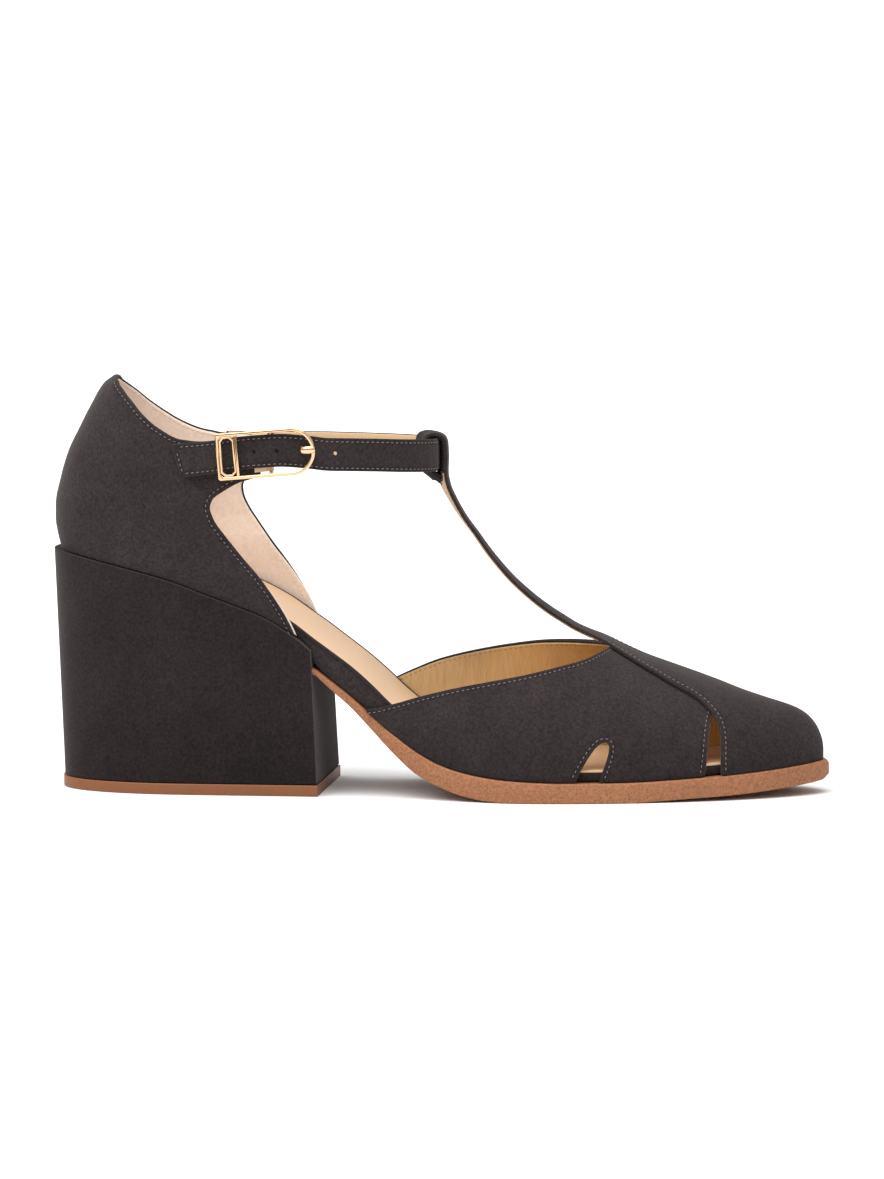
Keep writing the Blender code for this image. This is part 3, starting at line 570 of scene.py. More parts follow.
def last_point(x, angle):
    """Outer face of the front of the upper: angle runs from 0 (lateral) over 90 to 180 (medial)."""
    turn = math.radians(angle)
    side = -1 if angle <= 90 else 1
    across = abs(math.cos(turn)) ** SECTION_POWER
    up = max(0.0, math.sin(turn)) ** SECTION_POWER
    u = max(0.0, (x - BALL[-1][0]) / (TOE_TIP_X - BALL[-1][0]))
    middle = TOE_TIP_Y * min(1.0, u) ** 2
    foot = lower_edge(x)
    y = middle + (outline(side, x) - middle) * across
    return Vector((x, y, foot + instep_height(x, foot) * up))


def last_normal(x, angle):
    """Outward direction of the last at a point."""
    x = min(x, TOE_TIP_X - 0.03)
    step = min(0.5, (TOE_TIP_X - x) / 2)
    low, high = max(0.0, angle - 1.0), min(180.0, angle + 1.0)
    along = last_point(x + step, angle) - last_point(x - step, angle)
    over = last_point(x, high) - last_point(x, low)
    return along.cross(over).normalized()


def creased(point, rows):
    """The point pushed towards the shoe's middle by the soft troughs of its side, or out by the ridges."""
    push = 0.0
    for side, x0, z0, x1, z1, width, depth in rows:
        if side * point.y < 0:
            continue
        along = Vector((x1 - x0, z1 - z0))
        reach = Vector((point.x - x0, point.z - z0))
        t = reach.dot(along) / along.length_squared
        away = (reach - along * unit(t)).length
        fade = unit(1.25 - abs(t - 0.5) * 1.5)
        push += depth * fade * math.exp(-((away / width) ** 2))
    return point + Vector((0, -push if point.y > 0 else push, 0))


def angle_at(x, z, side=-1):
    """The section angle at which the last is z high at x."""
    foot = lower_edge(x)
    share = (z - foot) / (INSTEP("z", x) - foot)
    angle = math.degrees(math.asin(unit(share) ** (1 / SECTION_POWER)))
    return angle if side < 0 else 180 - angle


def topline_angle(side, x, lower=0.0):
    """Section angle at which the vamp's open edge lies. At the throat it closes up to the ridge."""
    behind = min(x, THROAT_STARTS_X)
    angle = angle_at(behind, TOPLINE(side_name(side), behind) - lower)
    closing = unit((x - THROAT_STARTS_X) / (THROAT_X - THROAT_STARTS_X))
    return angle + (90.0 - angle) * closing


def counter_point(turn, z, side):
    """Outer face of the heel counter: turn is 0 at the back seam and 90 at the widest part."""
    rear, lean = BACK("x", z), BACK("lean", z)
    if turn <= 90:
        phi = math.radians(max(0.0, turn))
        x = WIDEST_HEEL_X - (WIDEST_HEEL_X - rear) * math.cos(phi) ** (2 / HEEL_ROUNDNESS)
        share = math.sin(phi) ** (2 / HEEL_ROUNDNESS)
        return Vector((x, PLAN(side_name(side), WIDEST_HEEL_X) * lean * share, z))
    x = WIDEST_HEEL_X + (turn - 90) / TURN_PER_MM
    return Vector((x, PLAN(side_name(side), x) * lean, z))


def counter_normal(turn, z, side):
    turn = max(turn, 0.6)
    round_it = counter_point(turn + 0.5, z, side) - counter_point(turn - 0.5, z, side)
    up = counter_point(turn, z + 0.5, side) - counter_point(turn, z - 0.5, side)
    return (round_it.cross(up) * -side).normalized()


def turn_at(x, z):
    """The turn of the counter's plan curve at x."""
    if x >= WIDEST_HEEL_X:
        return 90 + (x - WIDEST_HEEL_X) * TURN_PER_MM
    share = (WIDEST_HEEL_X - x) / (WIDEST_HEEL_X - BACK("x", z))
    return math.degrees(math.acos(unit(share) ** (HEEL_ROUNDNESS / 2)))


def seat(x):
    return FOOTBED("block", x) + GAP


def spread(start, stop, count, ease=1.0):
    """count + 1 places from start to stop. An ease over 1 draws them to the far end."""
    return [start + (stop - start) * (1 - (1 - i / count) ** ease) for i in range(count + 1)]


def through(points):
    """A function that runs smoothly through the points, from 0 to 1 along their length."""
    ways = [0.0]
    for one, other in zip(points, points[1:]):
        ways.append(ways[-1] + (Vector(other) - Vector(one)).length)
    columns = list(zip(*points))
    return lambda t: Vector([smooth_between(ways, column, t * ways[-1]) for column in columns])


# Building meshes


def mapped_sheet(across, along, surface):
    """A grid laid on a surface: surface(u, v) gives a design point for u and v from 0 to 1."""
    bm = bmesh.new()
    bmesh.ops.create_grid(bm, x_segments=across, y_segments=along, size=0.5)
    for vert in bm.verts:
        vert.co = place(surface(vert.co.x + 0.5, vert.co.y + 0.5))
    return bm


def joined(*parts):
    """One mesh from several, each of which is freed."""
    whole = bmesh.new()
    for part in parts:
        mesh = bpy.data.meshes.new("part")
        part.to_mesh(mesh)
        whole.from_mesh(mesh)
        bpy.data.meshes.remove(mesh)
        part.free()
    return whole


def ringed(rings, capped=True):
    """A tube through rings of points, with its ends filled."""
    count, last = len(rings[0]), len(rings) - 1

    def surface(u, v):
        return rings[round(v * last)][round(u * count) % count]

    bm = mapped_sheet(count, last, surface)
    bmesh.ops.remove_doubles(bm, verts=bm.verts, dist=0.004 * MM)
    if capped:
        ends = [edge for edge in bm.edges if edge.is_boundary]
        bmesh.ops.holes_fill(bm, edges=ends, sides=0)
    return bm


def face_out(bm, inside):
    """Turns an open sheet so that it faces away from a design point."""
    bm.normal_update()
    middle = place(inside)
    away = sum(1 if face.normal.dot(face.calc_center_median() - middle) > 0 else -1 for face in bm.faces)
    if away < 0:
        bmesh.ops.reverse_faces(bm, faces=bm.faces)
    bm.normal_update()


def finished(bm, name, materials, sharp=40.0, closed=True):
    """The mesh as an object that rides on the shoe."""
    if closed:
        bmesh.ops.dissolve_degenerate(bm, edges=bm.edges, dist=0.001 * MM)
        bmesh.ops.recalc_face_normals(bm, faces=bm.faces)
    mesh = bpy.data.meshes.new(name)
    bm.to_mesh(mesh)
    bm.free()
    mesh.shade_smooth()
    mesh.set_sharp_from_angle(angle=math.radians(sharp))
    for material in materials:
        mesh.materials.append(material)
    obj = bpy.data.objects.new(name, mesh)
    bpy.context.scene.collection.objects.link(obj)
    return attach(obj, "root")


def add_wall(obj, thickness, rim=0, roundness=0.0):
    """Gives a sheet its wall on the inner side, and rounds its edges."""
    wall = obj.modifiers.new("wall", "SOLIDIFY")
    wall.thickness = thickness
    wall.offset = -1
    wall.use_even_offset = True
    wall.use_quality_normals = True
    wall.material_offset_rim = rim
    if roundness:
        round_edges(obj, roundness)


def round_edges(obj, width, segments=2, angle=50.0):
    bevel = obj.modifiers.new("round", "BEVEL")
    bevel.width = width
    bevel.segments = segments
    bevel.limit_method = "ANGLE"
    bevel.angle_limit = math.radians(angle)
    bevel.harden_normals = False
    return bevel


def inwards(bm, depth):
    """Moves a sheet inwards by a depth in metres."""
    bm.normal_update()
    for vert, normal in [(vert, vert.normal.copy()) for vert in bm.verts]:
        vert.co -= normal * depth


def cut(obj, bm, name):
    """Cuts a closed mesh out of an object."""
    mesh = bpy.data.meshes.new(name)
    bmesh.ops.recalc_face_normals(bm, faces=bm.faces)
    bm.to_mesh(mesh)
    bm.free()
    cutter = bpy.data.objects.new(name, mesh)
    bpy.context.scene.collection.objects.link(cutter)
    boolean = obj.modifiers.new(name, "BOOLEAN")
    boolean.operation = "DIFFERENCE"
    boolean.object = cutter
    bpy.context.view_layer.update()
    graph = bpy.context.evaluated_depsgraph_get()
    result = bpy.data.meshes.new_from_object(obj.evaluated_get(graph), depsgraph=graph)
    obj.modifiers.clear()
    old = obj.data
    obj.data = result
    result.name = old.name
    bpy.data.meshes.remove(old)
    bpy.data.objects.remove(cutter)
    bpy.data.meshes.remove(mesh)
    result.set_sharp_from_angle(angle=math.radians(40))


# Materials


def add_node(tree, kind, sockets=(), out=0, **settings):
    """Adds a node with its settings, and gives one of its outputs. Its sockets go by name or number, or
    in order, and each takes a value, or another node's output as a link."""
    node = tree.nodes.new(kind)
    for name, value in settings.items():
        setattr(node, name, value)
    for socket, value in sockets.items() if isinstance(sockets, dict) else enumerate(sockets):
        if isinstance(value, bpy.types.NodeSocket):
            tree.links.new(value, node.inputs[socket])
        else:
            node.inputs[socket].default_value = value
    return node.outputs[out]


def new_material(name, **values):
    """A Principled material, its tree and its shader. Values are the shader's own sockets."""
    material = bpy.data.materials.get(name)
    if material:
        return material, None, None
    material = bpy.data.materials.new(name)
    material.use_nodes = True
    shader = material.node_tree.nodes["Principled BSDF"]
    for socket, value in values.items():
        shader.inputs[socket.replace("_", " ")].default_value = value
    return material, material.node_tree, shader


def rgba(colour, scale=1.0):
    return (*[min(1.0, c * scale) for c in colour], 1.0)


def surface_of(tree, shader, colour, height, strength, depth):
    """Gives a shader its colour and its relief, of a depth in metres."""
    tree.links.new(colour, shader.inputs["Base Color"])
    relief = add_node(tree, "ShaderNodeBump", {"Height": height, "Strength": strength, "Distance": depth})
    tree.links.new(relief, shader.inputs["Normal"])


def suede_material():
    """Calf suede, buffed on the flesh side: no gloss, a pale sheen at a grazing angle and a soft nap."""
    return nap_material("buffed_dark_suede", bpy.context.scene.shoe_colours.suede)


def heel_suede_painted_shade_material():
    """The same suede drawn round the heel block, darker as painted shade on the block's upright sides."""
    return nap_material("heel_suede_with_painted_shade", bpy.context.scene.shoe_colours.heel_suede_painted_shade)


def nap_material(name, colour):
    """A suede: its nap in tufts and clouds, darker along the seams, partly where the nap is pressed flat
    and partly as painted shade in their grooves.
    """
    sheen = {"Sheen_Weight": 0.16, "Sheen_Roughness": 0.45, "Sheen_Tint": rgba(linear("#cdc3c0"))}
    material, tree, shader = new_material(name, Roughness=0.95, Specular_IOR_Level=0.1, **sheen)
    if not tree:
        return material
    where = add_node(tree, "ShaderNodeTexCoord", out="Object")
    nap = bpy.context.scene.shoe_sizes.nap
    # Tufts of nap are under a millimetre wide, streaks 3 mm, and the brushed clouds 10 to 20 mm
    tufts = add_node(tree, "ShaderNodeTexNoise", {"Vector": where, "Scale": 0.6 / nap, "Detail": 3.0})
    streaks = add_node(tree, "ShaderNodeTexNoise", {"Vector": where, "Scale": 190.0, "Detail": 2.0})
    clouds = add_node(tree, "ShaderNodeTexNoise", {"Vector": where, "Scale": 55.0, "Detail": 3.0})
    cloudy = add_node(tree, "ShaderNodeMapRange", (clouds, 0.32, 0.68))
    tones = {0: cloudy, 6: rgba(colour, 0.88), 7: rgba(colour, 1.12)}
    brushed = add_node(tree, "ShaderNodeMix", tones, 2, data_type="RGBA")
    seam = add_node(tree, "ShaderNodeAttribute", out="Fac", attribute_name="seam")
    up = add_node(tree, "ShaderNodeSeparateXYZ", [where], "Z")
    # Towards the sole the suede is darkened as painted shade, for the low sides of the upper; along a seam
    # it is darkened partly for its nap pressed flat and partly as painted shade in the groove
    shade = 1.0
    for source, *limits in (
        (tufts, 0.3, 0.7, 0.66, 1.36),
        (streaks, 0.3, 0.7, 0.93, 1.07),
        # Painted shade: darker from 30 mm down to 8 mm above the floor
        (up, 8 * MM, 30 * MM, 0.74, 1.0),
        # Along a seam: partly the nap pressed flat, partly painted shade in the groove
        (seam, 0.0, 1.0, 1.0, 0.6),
    ):
        part = add_node(tree, "ShaderNodeMapRange", (source, *limits))
        shade = add_node(tree, "ShaderNodeMath", (shade, part), operation="MULTIPLY")
    toned = add_node(tree, "ShaderNodeVectorMath", {0: brushed, "Scale": shade}, operation="SCALE")
    groove = add_node(tree, "ShaderNodeMath", (seam, -0.5), operation="MULTIPLY")
    height = add_node(tree, "ShaderNodeMath", (tufts, 0.4, groove), operation="MULTIPLY_ADD")
    surface_of(tree, shader, toned, height, 0.7, 0.25 * MM)
    return material


def grained(name, colour, grain, spread_by, bump_by, coarse=0.0, specks=None, painted_hole_shadows=(), **values):
    """A leather with a grain of a size in metres, its colour spread round a middle one, and painted shadows
    as near black discs at the given places.
    """
    material, tree, shader = new_material(name, **values)
    if not tree:
        return material
    where = add_node(tree, "ShaderNodeTexCoord", out="Object")
    fine = add_node(tree, "ShaderNodeTexNoise", {"Vector": where, "Scale": 0.6 / grain, "Detail": 4.0})
    wide = add_node(tree, "ShaderNodeTexNoise", {"Vector": where, "Scale": 45.0, "Detail": 2.0})
    total = add_node(tree, "ShaderNodeMath", (wide, coarse, fine), operation="MULTIPLY_ADD")
    share = add_node(tree, "ShaderNodeMapRange", (total, 0.3 + coarse * 0.35, 0.7 + coarse * 0.65))
    layers = [(share, rgba(colour, 1 - spread_by), rgba(colour, 1 + spread_by))]
    if specks:
        size, dark = specks
        dots = add_node(tree, "ShaderNodeTexVoronoi", {"Vector": where, "Scale": 1 / size})
        layers.append((add_node(tree, "ShaderNodeMapRange", (dots, 0.1, 0.4)), rgba(linear(dark)), None))
    # Painted shadow: a near black disc round each given place, standing in for the shade down a hole
    for centre in painted_hole_shadows:
        away = add_node(tree, "ShaderNodeVectorMath", (where, centre), "Value", operation="DISTANCE")
        outside = add_node(tree, "ShaderNodeMapRange", (away, 1.3 * MM, 1.7 * MM))
        layers.append((outside, rgba(linear("#120d0b")), None))
    # A layer with no second colour lies over the ones before it
    mixed = None
    for factor, one, other in layers:
        tones = {0: factor, 6: one, 7: other or mixed}
        mixed = add_node(tree, "ShaderNodeMix", tones, 2, data_type="RGBA")
    surface_of(tree, shader, mixed, fine, bump_by, 0.15 * MM)
    return material


def heel_lining_material():
    """Pigskin lining, buffed: pinkish beige and almost without gloss."""
    colours = bpy.context.scene.shoe_colours
    return grained("buffed_pigskin_lining", colours.heel_lining, 0.7 * MM, 0.09, 0.35, 0.5, Roughness=0.85)


def vamp_lining_material():
    """Kid leather with a thin gold foil: satin, with fine creases where the last was drawn out, and
    deeper in colour towards the toe as painted shade and painted reflection of the foil in itself, deep
    inside the vamp."""
    colours = bpy.context.scene.shoe_colours
    material, tree, shader = new_material("gold_kid_lining", Roughness=0.42, Metallic=0.35)
    if not tree:
        return material
    where = add_node(tree, "ShaderNodeTexCoord", out="Object")
    # Creases stand upright, about 1.5 mm apart, and are drawn finer than they are long
    stretch = add_node(tree, "ShaderNodeMapping", {"Vector": where, "Scale": (1.0, 0.6, 0.22)})
    creases = add_node(tree, "ShaderNodeTexNoise", {"Vector": stretch, "Scale": 420.0, "Detail": 3.0})
    wide = add_node(tree, "ShaderNodeTexNoise", {"Vector": where, "Scale": 38.0, "Detail": 2.0})
    share = add_node(tree, "ShaderNodeMapRange", (wide, 0.3, 0.7))
    # Painted shade and painted reflection: the lining's colour deepens from x = 125 to 178 mm, deeper into
    # the vamp
    along = add_node(tree, "ShaderNodeSeparateXYZ", [where], "X")
    ends = [place((x, 0, 0)).x for x in (125, 178)]
    deep = add_node(tree, "ShaderNodeMapRange", (along, *ends))
    tones = {0: deep, 6: rgba(colours.vamp_lining), 7: rgba(colours.toe_lining_painted_shade)}
    drawn = add_node(tree, "ShaderNodeMix", tones, 2, data_type="RGBA")
    dull, bright = [
        add_node(tree, "ShaderNodeVectorMath", {0: drawn, "Scale": scale}, operation="SCALE")
        for scale in (0.85, 1.15)
    ]
    mixed = add_node(tree, "ShaderNodeMix", {0: share, 6: dull, 7: bright}, 2, data_type="RGBA")
    surface_of(tree, shader, mixed, creases, 0.9, 0.6 * MM)
    return material


def lining_edge_material():
    """Cut edge of the lining leather: pale and fibrous."""
    colours = bpy.context.scene.shoe_colours
    return grained("cut_lining_edge", colours.lining_edge, 0.4 * MM, 0.08, 0.3, Roughness=0.8)


def strap_lining_material():
    """Smooth calf lining of the straps: light beige and a little glossy, with painted shadow under the free
    holes.
    """
    colours = bpy.context.scene.shoe_colours
    # Painted shadows on the lining under the two free holes that lie over it
    painted_hole_shadows = [place(in_buckle(along, across, HOLE_SHADOW_Y)) for along, across in FREE_HOLES[:2]]
    return grained(
        "smooth_strap_lining", colours.strap_lining, 0.5 * MM, 0.06, 0.2, 0.4, painted_hole_shadows=painted_hole_shadows, Roughness=0.5
    )


def sock_material():
    """Smooth sheepskin sock: a soft low gloss and very small pores."""
    colours = bpy.context.scene.shoe_colours
    return grained("smooth_sheepskin_sock", colours.sock, 0.5 * MM, 0.035, 0.15, 0.6, Roughness=0.42)


def sole_material():
    """Vegetable tanned sole bend, its cut edge sanded: open tan fibres with darker pits."""
    colours = bpy.context.scene.shoe_colours
    pits = (0.55 * MM, "#5f3a20")
    return grained("sanded_sole_bend", colours.sole, 0.5 * MM, 0.32, 1.0, 0.25, pits, Roughness=0.62)


def top_piece_material():
    """Stacked leather top piece, waxed: browner and closer than the sole's edge."""
    colours = bpy.context.scene.shoe_colours
    return grained("waxed_top_piece", colours.top_piece, 0.6 * MM, 0.10, 0.35, 0.4, Roughness=0.5)


def thread_material():
    """Twisted polyester thread: grey, with a faint gloss."""
    colours = bpy.context.scene.shoe_colours
    return grained("grey_polyester_thread", colours.thread, 0.2 * MM, 0.15, 0.4, Roughness=0.6)


def lining_thread_material():
    """The bobbin thread that shows on the linings: tan, with a faint gloss."""
    colours = bpy.context.scene.shoe_colours
    return grained("tan_polyester_thread", colours.lining_thread, 0.2 * MM, 0.15, 0.4, Roughness=0.6)


def metal_material():
    """Cast zinc, polished and plated in rose gold: sharp reflections on rounded bars."""
    tint = rgba(bpy.context.scene.shoe_colours.metal)
    material, tree, shader = new_material("rose_gold_plate", Metallic=1.0, Base_Color=tint)
    if not tree:
        return material
    where = add_node(tree, "ShaderNodeTexCoord", out="Object")
    polish = add_node(tree, "ShaderNodeTexNoise", {"Vector": where, "Scale": 900.0, "Detail": 2.0})
    share = add_node(tree, "ShaderNodeMapRange", (polish, 0.3, 0.7, 0.09, 0.17))
    tree.links.new(share, shader.inputs["Roughness"])
    return material


# Seams


def row_beside(edge, inset, lift):
    """A row beside an edge. The edge is a list of points with outward normals, and a positive inset
    lies to the left of the way along it, seen from outside."""
    row = []
    for i, (point, normal) in enumerate(edge):
        along = edge[min(i + 1, len(edge) - 1)][0] - edge[max(i - 1, 0)][0]
        left = normal.cross(along).normalized()
        row.append((point + left * inset + normal * lift, normal))
    return row


def collar_edge(side, start=1.0, stop=112.0, lower=0.0):
    edge = []
    for turn in spread(start, stop, 70):
        z = COLLAR(side_name(side), turn) - lower
        edge.append((counter_point(turn, z, side), counter_normal(turn, z, side)))
    return edge


def wing_edge(side, low=49.4, high=98.6):
    edge = []
    for z in spread(low, high, 70):
        turn = turn_at(WING(side_name(side), z), z)
        edge.append((counter_point(turn, z, side), counter_normal(turn, z, side)))
    return edge


def topline_edge(side, stop=177.0):
    edge = []
    for x in spread(VAMP_BACK_X[side] + 0.3, stop, 90):
        angle = topline_angle(side, x)
        angle = angle if side < 0 else 180 - angle
        edge.append((last_point(x, angle), last_normal(x, angle)))
    return edge


def cut_edge(points, side):
    """The outline of a cut-out on the vamp, from its list of x and z."""
    line = through([(x, z, 0.0) for x, z in points])
    edge = []
    shift = MEDIAL_CUT_FORWARD["front" if points[0][0] > 200 else "side"] if side > 0 else 0.0
    for t in spread(0.0, 1.0, 90):
        x, z, _ = line(t)
        x += shift
        if z < lower_edge(x) + 0.4:
            continue
        angle = angle_at(x, z, side)
        edge.append((last_point(x, angle), last_normal(x, angle)))
    return edge


def strap_row(row, columns):
    """Points and normals across the t strap's outer face at one row of its table."""
    x, y, z, half, turn, crown = T_STRAP[row]
    before = Vector(T_STRAP[max(0, row - 1)][:3])
    after = Vector(T_STRAP[min(len(T_STRAP) - 1, row + 1)][:3])
    turn = math.radians(turn)
    across = Vector((-math.sin(turn), math.cos(turn), 0))
    normal = across.cross((after - before).normalized()).normalized()
    bulge = Vector((math.cos(turn), math.sin(turn), 0)) if row >= LOOP_FIRST_ROW else normal
    return [
        (Vector((x, y, z)) + across * (half * v) - bulge * (crown * v * v), normal)
        for v in spread(-1.0, 1.0, columns)
    ]


def panel_row(row, columns, wall):
    ridge_x, edge_x, edge_angle = PANEL[row]
    points = []
    for v in spread(-1.0, 1.0, columns):
        x = ridge_x + (edge_x - ridge_x) * v * v
        angle = 90 + (90 - edge_angle) * v
        normal = last_normal(x, angle)
        points.append((last_point(x, angle) + normal * (OVERLAY_GAP + wall), normal))
    return points


OVERLAY_WALL = 1.0
OVERLAY_COLUMNS = 28
OVERLAY_ROWS = [strap_row(i, OVERLAY_COLUMNS) for i in reversed(range(len(T_STRAP)))]
OVERLAY_ROWS += [panel_row(i, OVERLAY_COLUMNS, OVERLAY_WALL) for i in range(len(PANEL))]
LOOP_END_ROW = len(T_STRAP) - 1 - LOOP_FIRST_ROW
THROAT_ROW = len(T_STRAP)


def overlay_stations():
    middle = OVERLAY_COLUMNS // 2
    ways = [0.0]
    for one, other in zip(OVERLAY_ROWS, OVERLAY_ROWS[1:]):
        step = max((other[k][0] - one[k][0]).length for k in (0, middle, OVERLAY_COLUMNS))
        ways.append(ways[-1] + step)
    return ways


OVERLAY_WAYS = overlay_stations()


def overlay_point(way, column, part=0):
    """A point (part 0) or normal (part 1) of the overlay's outer face, at a way along it in millimetres."""
    low = min(max(0, int(column)), OVERLAY_COLUMNS - 1)
    blend = column - low
    found = []
    for k in (low, low + 1):
        found.append(
            Vector(
                [
                    smooth_between(OVERLAY_WAYS, [row[k][part][axis] for row in OVERLAY_ROWS], way)
                    for axis in range(3)
                ]
            )
        )
    return found[0].lerp(found[1], blend)


def strap_point(route, t, v, depth=0.0):
    """A point of the ankle strap: t along it, v from -1 at its lower edge to 1, and a depth inwards."""
    point = route(t)
    along = route(min(1.0, t + 0.004)) - route(max(0.0, t - 0.004))
    inward = Vector((along.y, -along.x, 0)).normalized()
    slant = max(0.0, (t - TAIL_SLANT_FROM) / (1 - TAIL_SLANT_FROM)) ** 2 * TAIL_SLANT * v
    outer = STRAP_WALL / 2 - 0.25 * v**4
    return point + Vector((-slant, 0, STRAP_HALF_WIDTH * v)) - inward * (outer - depth), -inward


def seam_rows():
    """Each row of stitches as a list of points with normals, by the piece that it lies on."""
    sizes = bpy.context.scene.shoe_sizes
    inset = sizes.seam_inset / MM
    lift = 0.06
    rows = {"counter": [], "vamp": [], "overlay": [], "ankle": []}
    for side in SIDES:
        stop = 108.0 if side < 0 else 100.0
        rows["counter"].append(row_beside(collar_edge(side, stop=stop), side * inset, lift))
        rows["counter"].append(row_beside(wing_edge(side), -side * inset, lift))
        rows["vamp"].append(row_beside(topline_edge(side), side * inset, lift))
        side_cut = cut_edge(SIDE_CUT, side)
        rows["vamp"].append(row_beside(side_cut, -side * inset, lift))
        front_cut = cut_edge(FRONT_CUT[:6], side)
        rows["vamp"].append(row_beside(front_cut, -side * inset, lift))
        column = 0 if side < 0 else OVERLAY_COLUMNS
        edge = []
        for way in spread(OVERLAY_WAYS[LOOP_END_ROW - 1], OVERLAY_WAYS[THROAT_ROW + SEAM_ENDS_AT], 260):
            edge.append((overlay_point(way, column), overlay_point(way, column, 1).normalized()))
        rows["overlay"].append(row_beside(edge, -side * inset, lift))
    route = through(ANKLE_STRAP)
    for v in (-1, 1):
        share = v * (1 - inset * 0.85 / STRAP_HALF_WIDTH)
        rows["ankle"].append([strap_point(route, t, share, -lift) for t in spread(0.01, 0.9935, 320)])
    rows["ankle"].append([strap_point(route, 0.9935, v, -lift) for v in spread(-0.74, 0.74, 12)])
    return rows


def mark_seams(obj, rows, reach):
    """Stores on each point how near it lies to a row of stitches, from 0 to 1."""
    points = [point for row in rows for point, _ in dense(row, 0.4)]
    tree = KDTree(len(points))
    for i, point in enumerate(points):
        tree.insert(place(point), i)
    tree.balance()
    seam = obj.data.attributes.new("seam", "FLOAT", "POINT")
    values = []
    for vert in obj.data.vertices:
        distance = tree.find(vert.co)[2] / MM
        values.append(max(0.0, 1 - distance / reach))
    seam.data.foreach_set("value", values)


def dense(row, step):
    """The row's points at an even step, each with its normal."""
    ways = [0.0]
    for (one, _), (other, _) in zip(row, row[1:]):
        ways.append(ways[-1] + (other - one).length)
    found = []
    k = 0
    for i in range(int(ways[-1] / step) + 1):
        way = i * step
        while k < len(ways) - 2 and ways[k + 1] < way:
            k += 1
        span = max(1e-6, ways[k + 1] - ways[k])
        t = min(1.0, (way - ways[k]) / span)
        found.append((row[k][0].lerp(row[k + 1][0], t), row[k][1].lerp(row[k + 1][1], t).normalized()))
    return found


def suede_piece(bm, name, rows, wall, roundness=None, reach=0.75):
    """An open sheet as a piece of suede, with its wall, and with its seams pressed in as grooves that are
    darkened partly for the pressed nap and partly as painted shade.
    """
    piece = finished(bm, name, [suede_material()], closed=False)
    mark_seams(piece, rows, reach)
    add_wall(piece, wall, roundness=roundness or bpy.context.scene.shoe_sizes.edge_roundness)
    return piece


def inside_rows(rows, wall):
    """The same rows on the inner face of a piece with a wall in millimetres."""
    return [[(point - normal * (wall + 0.12), -normal) for point, normal in row] for row in rows]


def sew(name, rows, material):
    """A joined mesh of small stitches along the rows."""
    sizes = bpy.context.scene.shoe_sizes
    pitch, half = sizes.stitch_pitch / MM, sizes.stitch_length / 2
    bm = bmesh.new()
    for row in rows:
        places = dense(row, pitch)
        for i, (point, normal) in enumerate(places[:-1]):
            along = (places[i + 1][0] - point).normalized()
            along = (along + normal.cross(along) * 0.1).normalized()
            across = normal.cross(along).normalized()
            up = along.cross(across)
            turn = Matrix((along, across, up)).transposed().to_4x4()
            size = Matrix.Diagonal((half, sizes.thread / 2, sizes.thread * 0.4, 1))
            where = Matrix.Translation(place(point + along * pitch / 2))
            bmesh.ops.create_uvsphere(bm, u_segments=6, v_segments=4, radius=1, matrix=where @ turn @ size)
    return finished(bm, name, [material], closed=False)


# Operators


class SHOE_OT_sole(bpy.types.Operator):
    """Build the leather sole and the top piece of the heel"""

    bl_idname = "shoe.sole"
    bl_label = "Sole and top piece"

    def execute(self, context):
        breast = BREAST_X - BREAST_SLOPE * SOLE("top", SEAT_END_X) + GAP
        ball = BALL[1][0]
        rings = []
        for x in spread(breast, ball, 60) + spread(ball, SHOE_LENGTH, 60, ease=1.7)[1:]:
            margin = SOLE_MARGIN - WAIST_LOSS * unit((WAIST_X - x) / WAIST_RUN)
            left, right = [outline(side, x, margin, SHOE_LENGTH - TOE_TIP_X) for side in SIDES]
            rings.append(bar_ring(x, SOLE("bottom", x), SOLE("top", x), left, right, SOLE_CHAMFER))
        sole = finished(ringed(rings), "outsole_leather", [sole_material()], 60)
        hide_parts("outsole")

        rings = []
        for share in heel_shares():
            x, _, (left, right) = block_place(share, 0.0)
            x += PLATE_MARGIN * (2 * share - 1)
            grow = PLATE_MARGIN if share > 0 else 0.0
            rings.append(bar_ring(x, 0.0, TOP_PIECE, left - grow, right + grow, PLATE_CHAMFER))
        plate = finished(ringed(rings), "top_piece_leather", [top_piece_material()], 50)
        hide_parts("heel_top_piece")
        return {"FINISHED"}


def bar_ring(x, low, high, left, right, chamfer):
    """A flat bar's section with rounded corners, as a ring of points."""
    chamfer = max(0.0005, min(chamfer, (right - left) / 3, (high - low) / 3))
    corners = (
        (right - chamfer, low + chamfer, -90),
        (right - chamfer, high - chamfer, 0),
        (left + chamfer, high - chamfer, 90),
        (left + chamfer, low + chamfer, 180),
    )
    ring = []
    for y, z, start in corners:
        for step in range(4):
            angle = math.radians(start + step * 30)
            ring.append((x, y + chamfer * math.cos(angle), z + chamfer * math.sin(angle)))
    return ring


def heel_shares():
    return [t**2 * 0.54 for t in spread(0.0, 1.0, 26)] + spread(0.54, 1.0, 22, ease=2.0)[1:]


